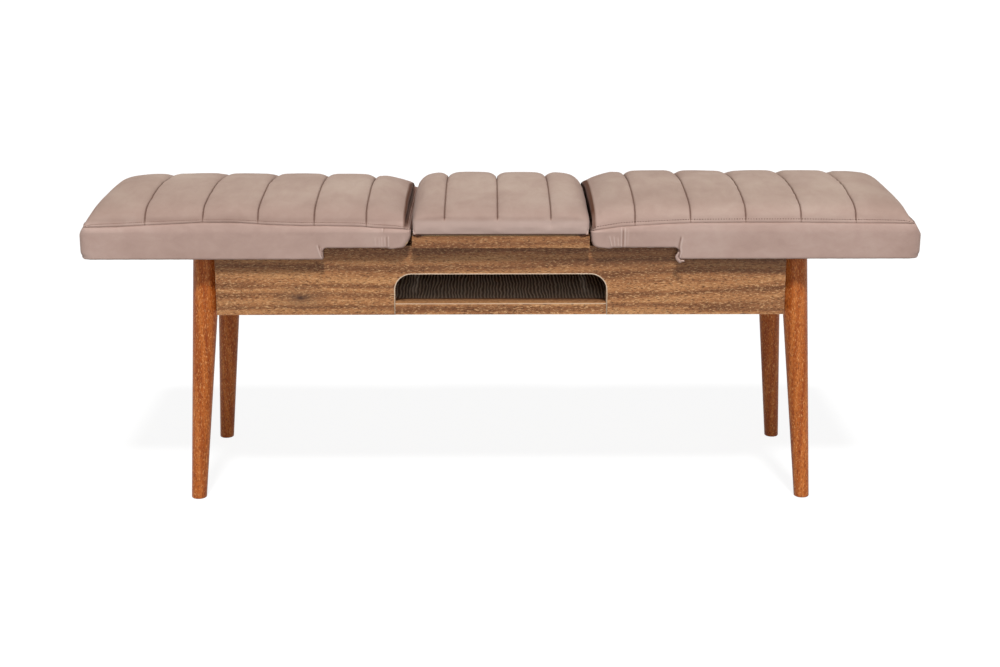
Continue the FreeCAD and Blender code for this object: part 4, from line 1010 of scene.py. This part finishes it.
# Gathers near the leaf: (out from the inner end, lean, height, width, top, bottom)
GATHERS = {
    "left": ((34.7, 0, 1.5, 0.8, 436.5, 417), (36.6, 0, -0.7, 0.7, 436.5, 417),
             (39.7, 0.5, 0.9, 0.8, 436, 418), (44.6, 0.5, 0.7, 0.9, 436, 418),
             (48.4, 0.5, 0.6, 0.8, 435, 419), (54.2, 1, 0.5, 0.9, 435, 420),
             (43.8, -1, 0.8, 0.8, 451, 441), (41.6, -1, -0.5, 0.7, 451, 441)),
    "right": ((33, -4.6, 1.1, 0.8, 436.5, 417), (37.5, -2.4, 1.0, 0.8, 436, 417),
              (42.6, -1.2, 0.9, 0.8, 434, 418), (47.1, 0, 1.6, 0.9, 449, 416.5),
              (49.6, 0, -0.7, 0.8, 447, 417), (52.5, 0.4, 1.5, 0.9, 449, 416.5),
              (57, 0.6, 0.5, 0.9, 446, 420))}
# Fabric edges at the step: (level, from the step), one ridge and one groove
STEP_RIDGE = {"left": ((419.5, 6.2), (414, 4.4), (408, 2.6), (403, 1.6), (399, 0.4)),
              "right": ((432, 3), (424, 1.6), (417, 0.6), (410, 1.4), (404, 0.6), (399, 0.6))}


def folds(word, x, z):
    """How far the cover stands out in its gathers and at the step."""
    level, out = z / MM, (x - INNER) / MM
    height = 0.0
    for offset, lean, tall, width, high, low in GATHERS[word]:
        centre = offset + lean * (level - low) / (high - low)
        window = eased((level - low + 2) / 5) * eased((high - level) / 5)
        height += tall * bell(out - centre, width) * window
    ridge = np.array(STEP_RIDGE[word])[::-1]
    from_ridge = (x - SKIRT_START) / MM - float(np.interp(level, ridge[:, 0], ridge[:, 1]))
    window = eased((ridge[-1, 0] + 3 - level) / 5)
    height += window * (1.1 * bell(from_ridge, 1.2) - 0.8 * bell(from_ridge + 2.6, 1.3))
    return height * MM


def seat_band(word, side, seed):
    """Cover band from the sewn seam down over board and battens, turned under at the bottom."""
    padding = PADDINGS[word]
    inner_rim, outer_rim = RIM_INSETS[word]
    stations = band_stations()
    folded = [(BAND_FOLD * (1 - math.cos(t)), BAND_FOLD * math.sin(t))
              for t in np.radians((22.5, 45, 67.5, 90))]
    wraps = [BAND_FOLD + BAND_WRAP * k / 5 for k in range(1, 6)]
    rows = BAND_ROWS + len(folded) + len(wraps)
    grid = np.zeros((len(stations), rows, 3))
    shade = np.zeros((len(stations), rows))
    for i, station in enumerate(stations):
        x0, y0 = band_place(station, inner_rim * MM, outer_rim * MM, LONG_RIM_INSET * MM, 0.0, 0.0)
        top = float(padding.rim_level(side * x0)) + 0.4 * MM
        step = float(np.interp((x0 - SKIRT_START) / MM, *np.array(STEP_EDGE).T))
        sag = (SAG_DEPTH * bell(x0 - INNER - SAG_PLACE, SAG_WIDTH)
               * eased((abs(y0) - (HALF_DEPTH - 16 * MM)) / (5 * MM)))
        bottom = (BOARD_FOOT - sag) * (1 - step) + SKIRT_FOOT * step - 0.6 * MM
        lowest = bottom + BAND_FOLD
        for k in range(rows):
            if k < BAND_ROWS:
                z = top - (top - lowest) * k / (BAND_ROWS - 1)
                extra = 0.0
            elif k < BAND_ROWS + len(folded):
                extra, drop = folded[k - BAND_ROWS]
                z = lowest - drop
            else:
                extra = wraps[k - BAND_ROWS - len(folded)]
                z = max(bottom, APRON_TOP + 0.3 * MM) if bottom > BOARD_FOOT - 4 * MM else bottom
            share = max((z - FLAT_TOP) / max(top - FLAT_TOP, 1 * MM), 0.0)
            lip = LIP * bell(top - 0.2 * MM - z, 0.9 * MM)
            lip *= OUTER_LIP_SHARE if station[0] == "outer" else 1.0
            slope = share ** 1.5
            outer_slope = max((z - OUTER_FLAT_TOP) / (top - OUTER_FLAT_TOP), 0.0)
            outer_slope **= OUTER_SLOPE[word]
            under = max(END_ROUND_LEVEL - z, 0.0)
            arc = MM * float(np.interp(under / MM, *np.array(END_PROFILES[word]).T))
            under = min(max(SKIRT_FOOT + CORNER_ROUND - z, 0.0), CORNER_UNDER)
            outer_arc = CORNER_ROUND - math.sqrt(CORNER_ROUND ** 2 - under ** 2)
            tucked = 0.5 * MM * eased((top - z) / (14 * MM)) + extra + lip
            x, y = band_place(station, inner_rim * MM * slope + tucked,
                              outer_rim * MM * outer_slope + tucked,
                              LONG_RIM_INSET * MM * slope + tucked, arc, outer_arc)
            if station[0] in ("front", "rear"):
                raised = folds(word, x, z) * eased((x - INNER) / (12 * MM))
                # Painted light on the raised gathers and painted shade in their hollows, then
                # painted shade under the board's edge
                shade[i, k] = -raised / (0.9 * MM)
                shade[i, k] += (BOARD_EDGE_SHADE * eased((BOARD_EDGE_LEVEL - z) / (3 * MM))
                                * eased((SKIRT_START + 1.2 * MM - x) / (1.2 * MM)))
                if k >= BAND_ROWS:
                    raised *= 0.5
                y += raised if station[0] == "rear" else -raised
                flare = (eased((FLARE_LEVEL - z) / (8 * MM))
                         * bell(x - SKIRT_START - 1.5 * MM, 3.2 * MM))
                x -= FLARE * flare
            if station[0] == "inner":
                # Painted shade on the inner end, from a little behind its front corner
                shade[i, k] = INNER_SHADE * eased((y + HALF_DEPTH - 6 * MM) / (8 * MM))
            wave = noise.noise(Vector((x, y, z)) * 24 + Vector((seed, 0, 0))) * 0.45 * MM
            wave *= eased((top - z) / (6 * MM))
            if station[0] in ("front", "rear"):
                y += wave if station[0] == "rear" else -wave
            else:
                x += wave if station[0] == "outer" else -wave
            grid[i, k] = (side * x, y, z)
    faces = grid_faces(len(stations), rows, closed=True)
    if side > 0:
        faces = [face[::-1] for face in faces]
    piece = sheet(f"{word}_cover_band", grid.reshape(-1, 3), faces, VELVET)
    # Painted shade along the band's top, under the border seam
    painted_shading = np.exp(-(np.arange(rows) / 0.8) ** 2) * 0.4
    point_attribute(piece, "painted_shading", np.clip(painted_shading[None, :] + shade, -1, 1.3).reshape(-1))
    modifier(piece, "SOLIDIFY", thickness=FABRIC, offset=-1.0, use_rim=True)
    under = grid[:, BAND_ROWS + len(folded) + 2] - np.array([0, 0, FABRIC])
    return piece, under


STAPLE_LINES = {}


def make_bands():
    """The cover band of each sliding seat."""
    for side, word, seed in ((1, "right", 4.0), (-1, "left", 9.0)):
        band, STAPLE_LINES[word] = seat_band(word, side, seed)
        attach(band, f"{word}_half")
        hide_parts(f"{word}_border")


make_bands()


def row_tree(name, shape, sockets):
    """Geometry nodes that repeat one small shape along a line, turned the way the line runs."""
    tree = bpy.data.node_groups.new(name, "GeometryNodeTree")
    tree.interface.new_socket("Geometry", in_out="INPUT", socket_type="NodeSocketGeometry")
    for label, kind in (("Pitch", "Float"), ("Half Length", "Float"), ("Radius", "Float"),
                        ("Unevenness", "Float"), ("Seed", "Int"), ("Finish", "Material")):
        tree.interface.new_socket(label, in_out="INPUT", socket_type=f"NodeSocket{kind}")
    tree.interface.new_socket("Geometry", in_out="OUTPUT", socket_type="NodeSocketGeometry")
    n = Tree(tree)
    given = n.add("NodeGroupInput").outputs
    line = n.add("GeometryNodeMeshToCurve", {"Mesh": given["Geometry"]}).outputs[0]
    spots = n.add("GeometryNodeCurveToPoints", {"Curve": line, "Length": given["Pitch"]},
                  mode="LENGTH").outputs
    single = n.add("GeometryNodeSetShadeSmooth", {0: n.add(shape, sockets).outputs[0]}).outputs[0]
    least = n.math("SUBTRACT", 1.0, given["Unevenness"])
    most = n.math("ADD", 1.0, given["Unevenness"])
    share = n.add("FunctionNodeRandomValue", {2: least, 3: most, "Seed": given["Seed"]},
                  data_type="FLOAT").outputs[1]
    size = n.joined(given["Radius"], given["Radius"],
                    n.math("MULTIPLY", given["Half Length"], share))
    repeated = n.add("GeometryNodeInstanceOnPoints", {
        "Points": spots["Points"], "Instance": single, "Rotation": spots["Rotation"],
        "Scale": size}).outputs[0]
    real = n.add("GeometryNodeRealizeInstances", {0: repeated}).outputs[0]
    finished = n.add("GeometryNodeSetMaterial", {"Geometry": real,
                                                 "Material": given["Finish"]}).outputs[0]
    n.add("NodeGroupOutput", {0: finished})
    return tree


STITCHES = row_tree("row_of_stitches", "GeometryNodeMeshUVSphere",
                    {"Segments": 6, "Rings": 5, "Radius": 1.0})
STAPLES = row_tree("row_of_staples", "GeometryNodeMeshCylinder",
                   {"Vertices": 8, "Radius": 1.0, "Depth": 2.0})


def row(name, tree, loop, body, sizes):
    """A repeated shape along a closed line of points, made into one plain mesh."""
    line = sheet(f"{name}_line", loop, [],
                 edges=[(k, (k + 1) % len(loop)) for k in range(len(loop))])
    nodes = modifier(line, "NODES", node_group=tree)
    for item in tree.interface.items_tree:
        if item.in_out == "INPUT" and item.name in sizes:
            nodes[item.identifier] = sizes[item.name]
    made = bpy.data.meshes.new_from_object(line.evaluated_get(
        bpy.context.evaluated_depsgraph_get()))
    bpy.data.objects.remove(line)
    piece = placed(name, made)
    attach(piece, body)
    return piece


def make_rows():
    """Stitches along the border seams, and staples that hold the cover under the battens."""
    for word, pitch, half_length, seed in (("right", 4.1, 1.0, 3), ("left", 3.1, 1.15, 7)):
        row(f"{word}_border_stitches", STITCHES, PADDINGS[word].seam_loop,
                    f"{word}_half", {"Pitch": pitch * MM, "Half Length": half_length * MM,
                                     "Radius": 0.6 * MM, "Unevenness": 0.25, "Seed": seed,
                                     "Finish": THREADS[word]})
        row(f"{word}_cover_staples", STAPLES, STAPLE_LINES[word], f"{word}_half",
                    {"Pitch": 26 * MM, "Half Length": 5.5 * MM, "Radius": 0.6 * MM,
                     "Unevenness": 0.0, "Seed": seed, "Finish": SCREW_STEEL})


make_rows()


def cloth_strip(name, grid, word):
    """A small strip of the cover from a grid of points, with its thickness."""
    piece = sheet(name, [p for line in grid for p in line], grid_faces(len(grid), len(grid[0])),
                  VELVET)
    modifier(piece, "SOLIDIFY", thickness=FABRIC, offset=0.0, use_rim=True)
    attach(piece, f"{word}_half")


# Folded cover over a batten's end: (from the step, in from the front), and the loose end of
# the fold at the right step: (from the step, level)
TUCK_LINE = ((1.4, 1.4), (-0.5, 1.6), (-1.5, 2.6), (-1.9, 5), (-1.6, 9), (-1.8, 13.5))
LOOSE_END = ((-3.0, 410), (-5.8, 406), (-7.4, 402.5), (-6.6, 398.6), (-3.6, 395), (-0.6, 392.8),
             (2.4, 394.4), (6.6, 395.4))


def make_tucks():
    """Cover folded over the ends of the battens, and its loose end at the right step."""
    for side, word in ((1, "right"), (-1, "left")):
        for sign, end in ((-1, "front"), (1, "rear")):
            line = smooth_line(TUCK_LINE, 0.8) * MM
            grid = []
            for k, (out, back) in enumerate(line):
                waved = 0.5 * MM * math.sin(1.1 * k + side) * k / len(line)
                grid.append([(side * (SKIRT_START + out + waved * (1 - v)),
                              sign * (HALF_DEPTH - back),
                              SKIRT_FOOT + (BOARD_FOOT - SKIRT_FOOT) * v - 0.4 * MM)
                             for v in (0, 0.15, 0.35, 0.6, 0.8, 1.0)])
            cloth_strip(f"{word}_{end}_batten_tuck", grid[::side * sign], word)
    line = smooth_line(LOOSE_END, 0.7)
    way = np.gradient(line, axis=0)
    way /= np.linalg.norm(way, axis=1, keepdims=True)
    grid = []
    for k, ((out, level), (dx, dz)) in enumerate(zip(line, way)):
        share = k / (len(line) - 1)
        width = 4.6 * math.sin(math.pi * (0.12 + 0.76 * share))
        grid.append([(SKIRT_START + (out - dz * width * v) * MM,
                      -HALF_DEPTH - (0.9 + 1.3 * math.sin(math.pi * v)) * MM,
                      (level + dx * width * v) * MM) for v in (0, 0.2, 0.4, 0.6, 0.8, 1.0)])
    cloth_strip("right_loose_fold", grid, "right")


make_tucks()


# Boards, legs and battens: the frame's own shapes, the boards with eased edges
EASED_EDGE = 0.7 * MM
BATTEN_TAPER = 1.9 * MM
SHARP_ANGLE = math.radians(30)


def dressed(node, name, materials, ease_width=0.0, taper=0.0):
    """A copy of a frame piece with joined faces, eased edges and its finish.

    Taper draws a batten's outer lower edge in, under the rounded cover."""
    mesh = frame["nodes"][node].data.copy()
    mesh.name = name
    mesh.materials.clear()
    edit = bmesh.new()
    edit.from_mesh(mesh)
    bmesh.ops.remove_doubles(edit, verts=edit.verts, dist=0.00001)
    if ease_width:
        bmesh.ops.dissolve_limit(edit, angle_limit=math.radians(1.0), verts=edit.verts,
                                 edges=edit.edges)
    for vert in edit.verts:
        if abs(vert.co.x) > OUTER - 26 * MM and vert.co.z < SKIRT_FOOT + 0.5 * MM:
            vert.co.x -= math.copysign(taper, vert.co.x)
    for face in edit.faces:
        face.material_index = 0
        face.smooth = True
    for edge in edit.edges:
        edge.smooth = len(edge.link_faces) == 2 and edge.calc_face_angle(0.0) < SHARP_ANGLE
    edit.to_mesh(mesh)
    edit.free()
    for each in materials:
        mesh.materials.append(each)
    piece = placed(name, mesh)
    if ease_width:
        modifier(piece, "BEVEL", width=ease_width, segments=2, limit_method="ANGLE",
                 angle_limit=math.radians(40), material=len(materials) - 1, harden_normals=False)
    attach(piece, next(body for body, members in frame["record"]["behaviour"]["bodies"].items()
                        if node in members))
    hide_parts(node)
    return piece


def make_woodwork():
    """Foil boards with pale eased edges, partly painted highlight, and turned legs."""
    boards = (("front_apron", "front_apron_board", APRON_WALNUT),
              ("rear_apron", "rear_apron_board", REAR_WALNUT),
              ("left_end_panel", "left_end_board", ACROSS_WALNUT),
              ("right_end_panel", "right_end_board", ACROSS_WALNUT),
              ("floor_panel", "floor_board", FLOOR_FOIL),
              ("leaf_board", "leaf_top_board", LEAF_WALNUT))
    for node, name, foil in boards:
        band = foil if node == "leaf_board" else EDGE
        dressed(node, name, [foil, band], EASED_EDGE)
    for corner in ("front_left", "front_right", "rear_left", "rear_right"):
        dressed(f"{corner}_leg", f"{corner}_turned_leg", [BEECH])
    for word in ("left", "right"):
        for place in ("front", "rear", "end"):
            dressed(f"{word}_{place}_skirt", f"{word}_{place}_batten", [SOFTWOOD],
                            taper=BATTEN_TAPER)


make_woodwork()

CUTOUT_HALF = 0.165
CUTOUT_TOP = 0.371
CUTOUT_ROUND = 0.026
ROUND_STEPS = 12
# Section of its edge band: (out from the edge, in from the front or rear of the band)
RIM_SECTION = ((0.4, 0.4), (0.1, 0), (-1.0, 0), (-1.3, 0.3))
RIM_PROUD = 0.15 * MM


def make_cutout_rim():
    """Pale edge band glued round the opening in the front apron; its paleness is partly painted
    highlight.
    """
    low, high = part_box("front_apron")
    outline = [(-CUTOUT_HALF, low.z)]
    for centre, start in ((-CUTOUT_HALF + CUTOUT_ROUND, 180), (CUTOUT_HALF - CUTOUT_ROUND, 90)):
        for k in range(ROUND_STEPS + 1):
            angle = math.radians(start - 90 * k / ROUND_STEPS)
            outline.append((centre + CUTOUT_ROUND * math.cos(angle),
                            CUTOUT_TOP - CUTOUT_ROUND + CUTOUT_ROUND * math.sin(angle)))
    outline.append((CUTOUT_HALF, low.z))
    line = np.array(outline)
    way = np.gradient(line, axis=0)
    way /= np.linalg.norm(way, axis=1, keepdims=True)
    inward = np.stack([way[:, 1], -way[:, 0]], axis=1)
    front, back = low.y - RIM_PROUD, high.y + RIM_PROUD
    section = [(out * MM, front + inset * MM) for out, inset in RIM_SECTION]
    section += [(out * MM, back - inset * MM) for out, inset in RIM_SECTION[::-1]]
    points, faces = [], []
    for (x, z), (nx, nz) in zip(line, inward):
        points += [(x + nx * out, y, z + nz * out) for out, y in section]
    size = len(section)
    for k in range(len(line) - 1):
        faces += [(k * size + j, k * size + (j + 1) % size, (k + 1) * size + (j + 1) % size,
                   (k + 1) * size + j) for j in range(size)]
    faces += [tuple(range(size)), tuple(range((len(line) - 1) * size, len(line) * size))]
    rim = closed_piece("cutout_edge_band", points, faces, EDGE)
    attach(rim, "frame")


make_cutout_rim()


def finish_frame_pieces():
    """Finishes on the frame pieces that stay as they are."""
    by_ending = (("seat_board", CHIPS), ("cushion_base", PLYWOOD), ("runner", SOFTWOOD),
                 ("corner_blocks", SOFTWOOD), ("leaf_cleats", SOFTWOOD),
                 ("dowels", DOWEL_WOOD), ("slide_channel", SLIDE_STEEL),
                 ("slide_rail", SLIDE_STEEL), ("slide_cages", BEARING_STEEL),
                 ("slide_balls", BEARING_STEEL), ("screws", SCREW_STEEL),
                 ("leg_bolts", SCREW_STEEL), ("leg_washers", SCREW_STEEL))
    for node, piece in frame["nodes"].items():
        if piece.hide_render:
            continue
        chosen = next(finish for ending, finish in by_ending if node.endswith(ending))
        for slot in piece.material_slots:
            slot.material = chosen


finish_frame_pieces()


# Floor and light
FLOOR_REACH = 30.0
ROOM_LIGHT = 0.21
# Lamps: (name, turn in degrees, strength, width in degrees)
LAMPS = (("key", (32.5, 0, 3), 2.68, 8), ("front", (77, 0, 8), 0.44, 24))


def grey(level):
    """A plain grey."""
    return level, level, level, 1.0


def make_floor():
    """Pale floor that keeps the bench's shadow and reads as white in the camera."""
    made = bpy.data.materials.new("studio_white")
    made.use_nodes = True
    made.node_tree.nodes.clear()
    n = Tree(made.node_tree)
    path = n.add("ShaderNodeLightPath")
    seen = n.math("MAXIMUM", path.outputs["Is Camera Ray"], path.outputs["Is Glossy Ray"])
    pale = n.add("ShaderNodeBsdfDiffuse", {"Color": grey(0.45)})
    shadow = n.add("ShaderNodeBsdfDiffuse", {"Color": grey(0.17)})
    glow = n.add("ShaderNodeEmission", {"Color": grey(1.0), "Strength": 0.9})
    both = n.add("ShaderNodeAddShader", {0: shadow.outputs[0], 1: glow.outputs[0]})
    shown = n.add("ShaderNodeMixShader", {0: seen, 1: pale.outputs[0], 2: both.outputs[0]})
    n.add("ShaderNodeOutputMaterial", {"Surface": shown.outputs[0]})
    corners = [(x * FLOOR_REACH, y * FLOOR_REACH, 0)
               for x, y in ((-1, -1), (1, -1), (1, 1), (-1, 1))]
    sheet("studio_floor", corners, [(0, 1, 2, 3)], made)


def make_light():
    """Even studio light: a bright room, a lamp from above and a weak one from the front."""
    world = bpy.data.worlds.new("studio")
    scene.world = world
    world.use_nodes = True
    world.node_tree.nodes.clear()
    n = Tree(world.node_tree)
    path = n.add("ShaderNodeLightPath")
    seen = n.math("MAXIMUM", path.outputs["Is Camera Ray"], n.math(
        "MAXIMUM", path.outputs["Is Glossy Ray"], path.outputs["Is Transmission Ray"]))
    room = n.add("ShaderNodeBackground", {"Color": grey(1.0), "Strength": ROOM_LIGHT})
    white = n.add("ShaderNodeBackground", {"Color": grey(1.0), "Strength": 1.0})
    shown = n.add("ShaderNodeMixShader", {0: seen, 1: room.outputs[0], 2: white.outputs[0]})
    n.add("ShaderNodeOutputWorld", {"Surface": shown.outputs[0]})
    for name, rotation, energy, angle in LAMPS:
        lamp = bpy.data.lights.new(name, "SUN")
        lamp.energy = energy
        lamp.angle = math.radians(angle)
        holder = bpy.data.objects.new(name, lamp)
        holder.rotation_euler = [math.radians(turn) for turn in rotation]
        scene.collection.objects.link(holder)


make_floor()
make_light()
